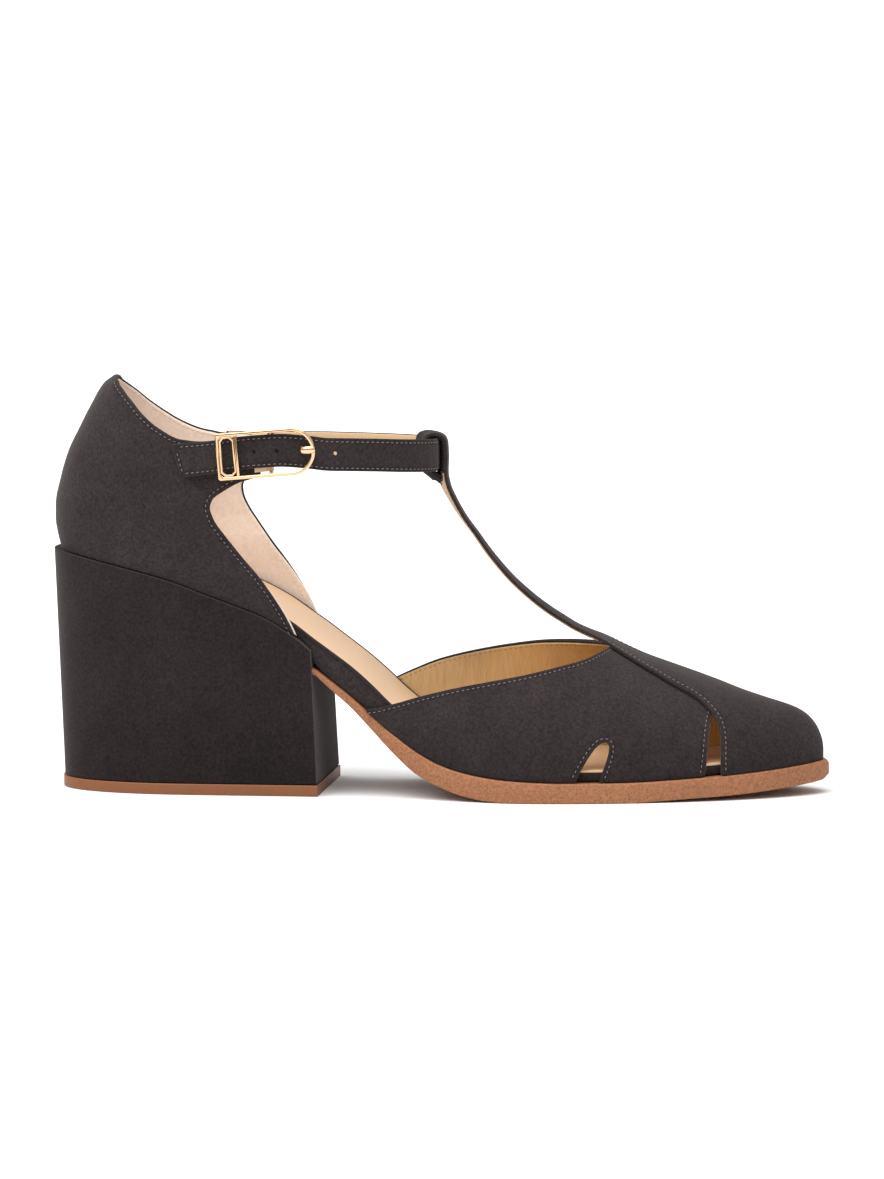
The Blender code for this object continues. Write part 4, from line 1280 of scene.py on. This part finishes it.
def block_place(share, level):
    """x, z and the two y of the heel block at a share of its length and a level from 0 to 1."""
    bottom = TOP_PIECE + GAP
    front_height = FOOTBED("block", SEAT_END_X)
    top_x = HEEL_REAR_X + share * (BREAST_X - BREAST_SLOPE * front_height - HEEL_REAR_X)
    top = FOOTBED("block", top_x)
    if top_x > BLOCK_CORNER_X:
        top = FOOTBED("block", BLOCK_CORNER_X) - BLOCK_CORNER_SLOPE * (top_x - BLOCK_CORNER_X)
    height = bottom + (top - bottom) * level
    front = BREAST_X - BREAST_SLOPE * (bottom + (front_height - bottom) * level)
    rear = HEEL_BACK_BOTTOM_X + (HEEL_REAR_X - HEEL_BACK_BOTTOM_X) * level
    x = rear + share * (front - rear)
    around = back_taper(rear + share * (WIDEST_HEEL_X - rear) * SEAT_END_X / WIDEST_HEEL_X, rear)
    widths = []
    for side in SIDES:
        top = PLAN(side_name(side), max(WIDEST_HEEL_X, x)) * SEAT_LEAN + side * BLOCK_STANDS_PROUD
        widths.append(side * (abs(top) * level + BLOCK_BOTTOM_HALF * (1 - level)) * around)
    return x, height, widths


class SHOE_OT_heel_block(bpy.types.Operator):
    """Build the heel block in its suede cover"""

    bl_idname = "shoe.heel_block"
    bl_label = "Heel block"

    def execute(self, context):
        levels = [i / 24 for i in range(25)]
        rings = []
        for share in heel_shares():
            rows = [block_place(share, level) for level in levels]
            lateral = [(x, widths[0], z) for x, z, widths in rows]
            medial = [(x, widths[1], z) for x, z, widths in rows]
            rings.append(lateral + medial[::-1])
        bm = ringed(rings)
        bmesh.ops.recalc_face_normals(bm, faces=bm.faces)
        # The breast keeps the plain suede; every other face of the block takes the darker suede with
        # painted shade
        for face in bm.faces:
            face.material_index = 1 if face.normal.x > 0.9 else 0
        materials = [heel_suede_painted_shade_material(), suede_material()]
        block = finished(bm, "heel_block_suede", materials, 40)
        round_edges(block, 0.7 * MM, 3, 45)
        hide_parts("heel_block")
        return {"FINISHED"}


def inner_places(inset, start):
    places = [start + (WIDEST_HEEL_X - start) * t**2 for t in spread(0.0, 1.0, 26)]
    places += spread(WIDEST_HEEL_X, SEAT_END_X - 1.4, 24)[1:]
    places += [SEAT_END_X - 0.4, SEAT_END_X + 0.4]
    places += spread(SEAT_END_X + 0.4, BALL[-1][0], 44)[1:]
    return places + spread(BALL[-1][0], TOE_TIP_X - inset, 40, ease=2.0)[1:]


def board_inset(x):
    seat_inset = SEAT_INSET + BOARD_CLEARANCE
    if x < WIDEST_HEEL_X:
        return seat_inset
    clear = unit((x - CLEAR_FROM_X) / CLEAR_RUN)
    return seat_inset + (FOREPART_INSET - seat_inset) * clear + 2.5 * GAP


class SHOE_OT_insole(bpy.types.Operator):
    """Build the suede-wrapped insole edge and the sock on it"""

    bl_idname = "shoe.insole"
    bl_label = "Insole and sock"

    def execute(self, context):
        inset = FOREPART_INSET + 2.5 * GAP
        rear = BACK("x", BLOCK_REAR_Z) + SEAT_INSET + 2 * GAP
        board, sock = [], []
        for x in inner_places(inset, rear):
            left, right = [outline(side, x, -board_inset(x), -inset, rear) for side in SIDES]
            low, high = FOOTBED("block", x) + GAP, FOOTBED("sock", x)
            if x < SEAT_END_X:
                low = max(low, high - BOARD_DEPTH)
            board.append(bar_ring(x, low, high - BOARD_BELOW_SOCK, left, right, BOARD_CHAMFER))
        inset += GAP
        rear += GAP
        for x in inner_places(inset, rear):
            left, right = [outline(side, x, -board_inset(x) - GAP, -inset, rear) for side in SIDES]
            high = FOOTBED("sock", x)
            sock.append(bar_ring(x, high - SOCK_WALL, high, left, right, SOCK_CHAMFER))
        whole = [ringed(board)]
        for side in SIDES:
            path = []
            for x in spread(*PIPING_RUN, 110):
                edge = outline(side, x, -board_inset(x) - GAP * 0.4, -inset, rear)
                path.append(Vector((x, edge, FOOTBED("sock", x) - PIPING_DROP)))
            size = (PIPING_RADIUS, PIPING_RADIUS)
            whole.append(bent_bar(path, [size] * len(path), Vector((0, 1, 0)), 8))
        rand = finished(joined(*whole), "insole_edge_suede", [suede_material()], 60)
        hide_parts("insole_rand")
        sheet = finished(ringed(sock), "sock_sheepskin", [sock_material()], 60)
        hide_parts("sock_lining")
        return {"FINISHED"}


def vamp_sheet(lower, rows=170, columns=56):
    """The open surface of the vamp, its topline lowered by lower."""
    halves = []
    end = TOE_TIP_X - 5 * lower
    for side in SIDES:
        back = VAMP_BACK_X[side] + lower
        throat = (THROAT_X - back) / (TOE_TIP_X - back)

        def surface(u, v, side=side, back=back, throat=throat):
            if u < throat:
                x = back + (THROAT_X - back) * u / throat
            else:
                x = THROAT_X + (end - THROAT_X) * (1 - (1 - (u - throat) / (1 - throat)) ** 1.8)
            top = topline_angle(side, x, lower)
            angle = top * v
            return creased(last_point(x, angle if side < 0 else 180 - angle), VAMP_CREASES)

        halves.append(mapped_sheet(rows, columns, surface))
    bm = joined(*halves)
    bmesh.ops.remove_doubles(bm, verts=bm.verts, dist=0.01 * MM)
    bmesh.ops.recalc_face_normals(bm, faces=bm.faces)
    face_out(bm, (190, 0, 12))
    return bm


def cutter_for(kind, points, side):
    near, far = CUT_DEPTH[kind]
    line = through([(x, z, 0.0) for x, z in points])
    places = [line(t) for t in spread(0.0, 1.0, 48)]
    shift = MEDIAL_CUT_FORWARD[kind] if side > 0 else 0.0
    rings = [[(x + shift, side * y, z) for x, z, _ in places] for y in (near, far)]
    return ringed(rings)


class SHOE_OT_vamp(bpy.types.Operator):
    """Build the vamp's suede and its gold lining, with the cut-outs of the side panels"""

    bl_idname = "shoe.vamp"
    bl_label = "Vamp"

    def execute(self, context):
        sizes = context.scene.shoe_sizes
        rows = seam_rows()["vamp"]
        suede = suede_piece(vamp_sheet(0.0), "vamp_suede", rows, sizes.suede)
        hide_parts("vamp")
        bm = vamp_sheet(LINING_SITS_LOWER, 120, 44)
        inwards(bm, sizes.suede)
        lining = finished(bm, "vamp_lining", [vamp_lining_material()], closed=False)
        add_wall(lining, sizes.lining)
        for kind, points in (("front", FRONT_CUT), ("side", SIDE_CUT)):
            for side in SIDES:
                for obj in (suede, lining):
                    cut(obj, cutter_for(kind, points, side), f"{kind}_cut")
        sew("vamp_stitches", rows, thread_material())
        sew("vamp_lining_stitches", inside_rows(rows[0::3], LINED_VAMP), lining_thread_material())
        return {"FINISHED"}


class SHOE_OT_toe_panel(bpy.types.Operator):
    """Build the toe panel that runs up as the t strap and turns back as a loop"""

    bl_idname = "shoe.toe_panel"
    bl_label = "Toe panel and t strap"

    def execute(self, context):
        sizes = context.scene.shoe_sizes
        rows = seam_rows()["overlay"]
        whole, strap = OVERLAY_WAYS[-1], OVERLAY_WAYS[THROAT_ROW - 1]

        def outer(u, v):
            return overlay_point(v * whole, u * OVERLAY_COLUMNS)

        def under(u, v):
            return overlay_point(strap * (0.012 + 0.988 * v), (0.06 + 0.88 * u) * OVERLAY_COLUMNS)

        bm = mapped_sheet(OVERLAY_COLUMNS, 300, outer)
        bmesh.ops.remove_doubles(bm, verts=bm.verts, dist=0.004 * MM)
        orient_overlay(bm)
        suede = suede_piece(bm, "toe_panel_suede", rows, sizes.suede)
        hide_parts("toe_panel_t_strap")
        bm = mapped_sheet(10, 170, under)
        orient_overlay(bm)
        inwards(bm, sizes.suede)
        # The loop is folded suede with no lining, so its inner face is dark
        tail_x = place((LOOP_TAIL_X, 0, 0)).x
        for face in bm.faces:
            middle = face.calc_center_median()
            face.material_index = int(middle.z > LOOP_LINED_Z * MM or middle.x < tail_x)
        materials = [strap_lining_material(), suede_material()]
        lining = finished(bm, "t_strap_lining", materials, closed=False)
        add_wall(lining, sizes.lining)
        sew("toe_panel_stitches", rows, thread_material())
        return {"FINISHED"}


def orient_overlay(bm):
    """Turns the overlay's sheet so that its suede faces out."""
    bm.normal_update()
    middle = OVERLAY_COLUMNS // 2
    point = place(overlay_point(OVERLAY_WAYS[THROAT_ROW - 6], middle))
    normal = overlay_point(OVERLAY_WAYS[THROAT_ROW - 6], middle, 1)
    nearest = min(bm.faces, key=lambda face: (face.calc_center_median() - point).length)
    if nearest.normal.dot(normal) < 0:
        bmesh.ops.reverse_faces(bm, faces=bm.faces)
    bm.normal_update()


def counter_sheet(lower, rows=90, columns=110):
    """The open surface of the heel counter, spread evenly between its edges on each side."""
    halves = []
    for side in SIDES:
        name = side_name(side)
        low_turn = turn_at(WING(name, WING_FOOT_Z) - lower, WING_FOOT_Z)
        top_turn = turn_at(WING(name, WING_TOP_Z) - lower, WING_TOP_Z)
        low_z = seat(counter_point(low_turn, WING_FOOT_Z, side).x)
        top_z = COLLAR(name, top_turn) - lower
        heel_z = seat(BACK("x", BLOCK_REAR_Z))

        def edges(reach, rise, name=name, side=side, low_turn=low_turn, top_turn=top_turn):
            turn = low_turn * reach
            bottom = (turn, seat(counter_point(turn, BLOCK_REAR_Z, side).x))
            top = (top_turn * reach, COLLAR(name, top_turn * reach) - lower)
            back = (0.0, heel_z + (COLLAR(name, 0) - lower - heel_z) * rise)
            z = low_z + (top_z - low_z) * rise
            inset = lower * (1 - LINING_PEEKS * unit((PEEK_BELOW_Z - z) / 14))
            return bottom, top, back, (turn_at(WING(name, z) - inset, z), z)

        def surface(u, v, edges=edges, side=side):
            bottom, top, back, front = edges(u, v)
            corners = [edges(r, v)[k] for k, r in ((0, 0), (0, 1), (1, 0), (1, 1))]
            found = []
            for axis in (0, 1):
                across = (1 - v) * bottom[axis] + v * top[axis]
                along = (1 - u) * back[axis] + u * front[axis]
                low_left, low_right, top_left, top_right = [corner[axis] for corner in corners]
                fixed = (1 - v) * ((1 - u) * low_left + u * low_right)
                fixed += v * ((1 - u) * top_left + u * top_right)
                found.append(across + along - fixed)
            return creased(counter_point(*found, side), COUNTER_CREASES)

        halves.append(mapped_sheet(columns, rows, surface))
    bm = joined(*halves)
    bmesh.ops.remove_doubles(bm, verts=bm.verts, dist=0.01 * MM)
    bmesh.ops.recalc_face_normals(bm, faces=bm.faces)
    face_out(bm, (50, 0, 90))
    return bm


class SHOE_OT_counter(bpy.types.Operator):
    """Build the heel counter with its wings and lining"""

    bl_idname = "shoe.counter"
    bl_label = "Heel counter"

    def execute(self, context):
        sizes = context.scene.shoe_sizes
        rows = seam_rows()["counter"]
        wall = sizes.suede * COUNTER_WALL
        suede = suede_piece(counter_sheet(0.0), "counter_suede", rows, wall)
        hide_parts("heel_counter")
        bm = counter_sheet(LINING_SITS_LOWER, 70, 90)
        inwards(bm, wall)
        materials = [heel_lining_material(), lining_edge_material()]
        lining = finished(bm, "counter_lining", materials, closed=False)
        add_wall(lining, sizes.lining * COUNTER_LINING_WALL, rim=1)
        sew("counter_stitches", rows, thread_material())
        sew("counter_lining_stitches", inside_rows(rows, LINED_COUNTER), heel_lining_material())
        return {"FINISHED"}


class SHOE_OT_ankle_strap(bpy.types.Operator):
    """Build the ankle strap with its lining, holes and stitches"""

    bl_idname = "shoe.ankle_strap"
    bl_label = "Ankle strap"

    def execute(self, context):
        sizes = context.scene.shoe_sizes
        rows = seam_rows()["ankle"]
        route = through(ANKLE_STRAP)

        def outer(u, v):
            return strap_point(route, u, 2 * v - 1)[0]

        def under(u, v):
            return strap_point(route, 0.004 + 0.99 * u, (2 * v - 1) * 0.95, STRAP_SUEDE)[0]

        bm = mapped_sheet(360, 14, outer)
        face_out(bm, (75, 0, 105))
        suede = suede_piece(bm, "ankle_strap_suede", rows, STRAP_SUEDE * MM, 0.4 * MM, 0.9)
        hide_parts("ankle_strap")
        bm = mapped_sheet(300, 8, under)
        face_out(bm, (75, 0, 105))
        lining = finished(bm, "ankle_strap_lining", [strap_lining_material()], closed=False)
        add_wall(lining, (STRAP_WALL - STRAP_SUEDE) * MM, roundness=0.2 * MM)
        for hole in (PRONG_HOLE, *FREE_HOLES):
            radius = PRONG_HOLE_RADIUS if hole == PRONG_HOLE else sizes.strap_hole / MM
            cut(suede, hole_cutter(*hole, radius), "hole")
            if hole[0] > PRONG_RISE_ALONG:
                cut(lining, hole_cutter(*hole, radius + 0.25), "hole")
        sew("ankle_strap_stitches", rows, thread_material())
        return {"FINISHED"}


def hole_cutter(along, across, radius):
    near, far = in_buckle(along, across, BUCKLE_Y - 3), in_buckle(along, across, BUCKLE_Y + 9)
    bm = bmesh.new()
    middle = place((near + far) / 2)
    turn = Matrix.Rotation(math.radians(90), 4, "X")
    bmesh.ops.create_cone(
        bm,
        cap_ends=True,
        segments=20,
        radius1=radius * MM,
        radius2=radius * MM,
        depth=(near - far).length * MM,
        matrix=Matrix.Translation(middle) @ turn,
    )
    return bm


def in_buckle(along, across, y=BUCKLE_Y):
    """A point of the buckle's plane in the design frame."""
    tilt = math.radians(BUCKLE_TILT)
    x = BUCKLE_LEFT_X + along * math.cos(tilt) - across * math.sin(tilt)
    z = BUCKLE_MIDDLE_Z + along * math.sin(tilt) + across * math.cos(tilt)
    return Vector((x, y, z))


def bar_loop(points, bar, half_thick):
    """A flat bar with rounded edges between two closed outlines in the buckle's plane."""
    curve = bpy.data.curves.new("bar", "CURVE")
    curve.dimensions = "2D"
    curve.fill_mode = "BOTH"
    round_by = min(bar, half_thick) * 0.8
    curve.bevel_depth = round_by * MM
    curve.offset = -round_by * MM
    curve.extrude = (half_thick - round_by) * MM
    curve.bevel_resolution = 3
    for outline_points in points:
        spline = curve.splines.new("POLY")
        spline.points.add(len(outline_points) - 1)
        for target, (along, across) in zip(spline.points, outline_points):
            target.co = (along * MM, across * MM, 0, 1)
        spline.use_cyclic_u = True
    obj = bpy.data.objects.new("bar", curve)
    bpy.context.scene.collection.objects.link(obj)
    graph = bpy.context.evaluated_depsgraph_get()
    mesh = bpy.data.meshes.new_from_object(obj.evaluated_get(graph))
    bpy.data.objects.remove(obj)
    bpy.data.curves.remove(curve)
    bm = bmesh.new()
    bm.from_mesh(mesh)
    bpy.data.meshes.remove(mesh)
    tilt = math.radians(BUCKLE_TILT)
    turn = Matrix(
        ((math.cos(tilt), -math.sin(tilt), 0), (0, 0, -1), (math.sin(tilt), math.cos(tilt), 0))
    ).to_4x4()
    move = Matrix.Translation(place((BUCKLE_LEFT_X, BUCKLE_Y, BUCKLE_MIDDLE_Z)))
    bmesh.ops.transform(bm, matrix=move @ turn, verts=bm.verts)
    bmesh.ops.remove_doubles(bm, verts=bm.verts, dist=0.002 * MM)
    return bm


def chamfered(left, right, low, high, corner):
    """A rectangle with its corners cut off, anticlockwise."""
    return [
        (left + corner, low),
        (right - corner, low),
        (right, low + corner),
        (right, high - corner),
        (right - corner, high),
        (left + corner, high),
        (left, high - corner),
        (left, low + corner),
    ]


def d_outline(left, right, half, corner):
    """A rectangle with cut corners on the left and a half round on the right, anticlockwise."""
    angles = [math.radians(-90 + i * 7.5) for i in range(25)]
    round_end = [(right - half + half * math.cos(angle), half * math.sin(angle)) for angle in angles]
    corners = [(left + corner, half), (left, half - corner), (left, corner - half)]
    return [(left + corner, -half), *round_end, *corners]


class SHOE_OT_buckle(bpy.types.Operator):
    """Build the buckle's frame, pivot bar and prong"""

    bl_idname = "shoe.buckle"
    bl_label = "Buckle"

    def execute(self, context):
        half, length = BUCKLE_HEIGHT / 2 + BUCKLE_RIM, BUCKLE_LENGTH
        rim = [
            d_outline(-BUCKLE_RIM, length + BUCKLE_RIM, half, 0.5),
            d_outline(0.12, length - 0.4, half - 1.05, 0.9)[::-1],
        ]
        ring = [
            chamfered(0.2, KEEPER_WIDTH - 0.6, 1.13 - half, half - 1.13, 1.2),
            chamfered(0.92, KEEPER_WIDTH - 1.15, 1.73 - half, half - 1.73, 1.0)[::-1],
        ]
        bar = [chamfered(KEEPER_WIDTH - 0.5, KEEPER_WIDTH + 0.38, 0.9 - half, half - 0.9, 0.1)]
        loops = [bar_loop(*cast) for cast in ((rim, 0.43, 0.75), (ring, 0.27, 0.6), (bar, 0.4, 0.7))]
        top = BUCKLE_HEIGHT / 2
        bends = ((top - 0.1, BUCKLE_Y), (top - 0.1, PIVOT_Y + 0.4), (top - 0.5, PIVOT_Y))
        bends += tuple((-across, y) for across, y in bends[::-1])
        path = [in_buckle(PIVOT_ALONG, across, y) for across, y in bends]
        pivot = bent_bar(path, [(PIVOT_RADIUS, PIVOT_RADIUS)] * len(path), Vector((1, 0, 0)))
        frame_piece = finished(joined(*loops, pivot), "buckle_frame_metal", [metal_material()], 30)
        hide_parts("buckle_frame")

        self.add_tab()
        eye = PIVOT_RADIUS + GAP + 0.8
        path, sizes = [], []
        for i in range(13):
            angle = math.radians(200 - i * 200 / 12)
            path.append(in_buckle(PIVOT_ALONG + eye * math.cos(angle), 0, PIVOT_Y + eye * math.sin(angle)))
            sizes.append((0.7, 0.7))
        rise = PRONG_RISE_ALONG
        for along, y, wide, thick in (
            (rise - 1.6, PIVOT_Y, 0.7, 0.6),
            (rise - 0.5, PIVOT_Y - 0.4, 0.7, 0.6),
            (rise + 0.2, PIVOT_Y - 1.6, 0.7, 0.6),
            (rise + 0.3, PIVOT_Y - 3.4, 0.75, 0.65),
            (rise + 0.4, BUCKLE_Y - 0.4, 1.0, 0.8),
            (rise + 0.9, BUCKLE_Y - 1.3, 1.15, 0.8),
            (rise + 2.2, BUCKLE_Y - 1.75, 1.2, 0.65),
            (BUCKLE_LENGTH + 0.3, BUCKLE_Y - 1.6, 1.1, 0.6),
            (BUCKLE_LENGTH + BUCKLE_RIM, BUCKLE_Y - 1.5, 0.8, 0.45),
        ):
            path.append(in_buckle(along, 0.15, y))
            sizes.append((wide, thick))
        prong = finished(bent_bar(path, sizes, None), "buckle_prong_metal", [metal_material()], 50)
        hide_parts("buckle_prong")
        return {"FINISHED"}

    def add_tab(self):
        """The wing's folded end, in two leaves beside the prong, that holds the pivot bar."""
        leaves = []
        for low, high in ((-5.9, -1.7), (1.7, 5.9)):

            def leaf(u, v, low=low, high=high):
                return tab_place(u, low + (high - low) * v)

            leaves.append(mapped_sheet(24, 3, leaf))
        tab = finished(joined(*leaves), "buckle_tab_leather", [strap_lining_material()], closed=False)
        add_wall(tab, 0.6 * MM)
        tab.modifiers["wall"].offset = 1 if tab_faces_in(tab) else -1


def tab_faces_in(tab):
    """True where the tab's faces look at the pivot bar, so that its wall grows away from the bar."""
    middle = place(in_buckle(PIVOT_ALONG, 0, PIVOT_Y))
    return sum((face.center - middle).dot(face.normal) for face in tab.data.polygons) < 0


def tab_place(u, across):
    """A point of the folded tab: round the pivot bar from its outer leaf to its inner one."""
    start, reach, half = PIVOT_ALONG - 5.2, 5.2, PIVOT_RADIUS + 0.25
    if u < 0.35:
        return in_buckle(start + reach * u / 0.35, across, PIVOT_Y - half)
    if u > 0.65:
        return in_buckle(start + reach * (1 - u) / 0.35, across, PIVOT_Y + half)
    angle = math.pi * (u - 0.35) / 0.3
    return in_buckle(PIVOT_ALONG + half * math.sin(angle), across, PIVOT_Y - half * math.cos(angle))


def bent_bar(path, sizes, flat, count=16):
    """A bar with an oval section along a path. Sizes are half its width across and half its thickness."""
    rings = []
    tilt = math.radians(BUCKLE_TILT)
    wide = flat or Vector((-math.sin(tilt), 0, math.cos(tilt)))
    for i, point in enumerate(path):
        along = (path[min(i + 1, len(path) - 1)] - path[max(i - 1, 0)]).normalized()
        across = (wide - along * wide.dot(along)).normalized()
        thin = along.cross(across)
        ring = []
        for k in range(count):
            angle = math.radians(k * 360 / count)
            half_wide, half_thin = sizes[i]
            ring.append(point + across * half_wide * math.cos(angle) + thin * half_thin * math.sin(angle))
        rings.append(ring)
    return ringed(rings)


class SHOE_OT_stage(bpy.types.Operator):
    """Build the pale floor, the soft lights and the camera"""

    bl_idname = "shoe.stage"
    bl_label = "Stage"

    def execute(self, context):
        colours = context.scene.shoe_colours
        bm = bmesh.new()
        bmesh.ops.create_grid(bm, x_segments=1, y_segments=1, size=FLOOR_HALF)
        mesh = bpy.data.meshes.new("floor")
        bm.to_mesh(mesh)
        bm.free()
        floor = bpy.data.objects.new("studio_floor", mesh)
        context.scene.collection.objects.link(floor)
        matte = {"Roughness": 0.9, "Specular_IOR_Level": 0.1, "Base_Color": rgba(colours.floor)}
        mesh.materials.append(new_material("matte_floor", **matte)[0])

        world = bpy.data.worlds.new("studio_air")
        world.use_nodes = True
        background = world.node_tree.nodes["Background"]
        where = add_node(world.node_tree, "ShaderNodeTexCoord", out="Generated")
        height = add_node(world.node_tree, "ShaderNodeSeparateXYZ", [where], "Z")
        # The room is dark towards the floor, which gives the metal an edge
        room = add_node(world.node_tree, "ShaderNodeMapRange", (height, 0.05, 0.35, 0.12, 1.0))
        world.node_tree.links.new(room, background.inputs["Color"])
        background.inputs["Strength"].default_value = ROOM_STRENGTH
        context.scene.world = world
        context.scene.view_settings.view_transform = "Standard"
        sky = bpy.data.lights.new("ceiling_bank", "SUN")
        sky.energy = SKY_STRENGTH
        sky.angle = math.radians(SKY_ANGLE)
        obj = bpy.data.objects.new("ceiling_bank", sky)
        obj.rotation_euler = direction(*SKY_FROM).to_track_quat("Z", "Y").to_euler()
        context.scene.collection.objects.link(obj)
        self.add_camera(context)
        return {"FINISHED"}

    def add_camera(self, context):
        """The photograph's camera: its angle, distance and lens, for a frame 1179 pixels high."""
        camera = bpy.data.cameras.new("camera")
        camera.sensor_width = 36.0
        camera.lens = CAMERA_DISTANCE / PIXEL_SIZE * 36.0 / PHOTO_HEIGHT
        camera.clip_start = 0.1
        camera.clip_end = 200.0
        obj = bpy.data.objects.new("camera", camera)
        back = direction(CAMERA_AZIMUTH, CAMERA_ELEVATION)
        obj.location = place((CAMERA_TARGET_X, 0, CAMERA_TARGET_Z)) + back * CAMERA_DISTANCE * MM
        obj.rotation_euler = back.to_track_quat("Z", "Y").to_euler()
        context.scene.collection.objects.link(obj)
        context.scene.camera = obj


# Half of the floor in metres, the strength of the lights, and the sky bank's spread and place in degrees
FLOOR_HALF = 60
ROOM_STRENGTH = 0.85
SKY_STRENGTH = 3.6
SKY_ANGLE = 70
SKY_FROM = (-25, 64)
# The photograph's camera, in degrees and design millimetres
CAMERA_AZIMUTH = 6.633
CAMERA_ELEVATION = 5.410
CAMERA_DISTANCE = 2177.9
PIXEL_SIZE = 0.3143
PHOTO_HEIGHT = 1179
CAMERA_TARGET_X = 123.19
CAMERA_TARGET_Z = 62.75


def direction(azimuth, elevation):
    """The way from the shoe to a light or camera: azimuth 0 is the lateral side, 90 the toe."""
    a, e = math.radians(azimuth), math.radians(elevation)
    return Vector((math.sin(a) * math.cos(e), -math.cos(a) * math.cos(e), math.sin(e)))


OPERATORS = (
    SHOE_OT_sole,
    SHOE_OT_heel_block,
    SHOE_OT_insole,
    SHOE_OT_vamp,
    SHOE_OT_toe_panel,
    SHOE_OT_counter,
    SHOE_OT_ankle_strap,
    SHOE_OT_buckle,
    SHOE_OT_stage,
)


class SHOE_PT_panel(bpy.types.Panel):
    """Lists the shoe's sizes, colours and build steps"""

    bl_idname = "SHOE_PT_panel"
    bl_label = "T strap shoe"
    bl_space_type = "VIEW_3D"
    bl_region_type = "UI"
    bl_category = "Shoe"

    def draw(self, context):
        layout = self.layout
        for group in (context.scene.shoe_sizes, context.scene.shoe_colours):
            column = layout.column(align=True)
            for name in group.__annotations__:
                column.prop(group, name)
        for operator in OPERATORS:
            layout.operator(operator.bl_idname)


CLASSES = (ShoeSizes, ShoeColours, *OPERATORS, SHOE_PT_panel)


def register():
    for cls in CLASSES:
        bpy.utils.register_class(cls)
    bpy.types.Scene.shoe_sizes = PointerProperty(type=ShoeSizes)
    bpy.types.Scene.shoe_colours = PointerProperty(type=ShoeColours)


def unregister():
    del bpy.types.Scene.shoe_colours
    del bpy.types.Scene.shoe_sizes
    for cls in reversed(CLASSES):
        bpy.utils.unregister_class(cls)


def main():
    register()
    for operator in OPERATORS:
        group, name = operator.bl_idname.split(".")
        getattr(getattr(bpy.ops, group), name)()


if __name__ == "__main__":
    main()
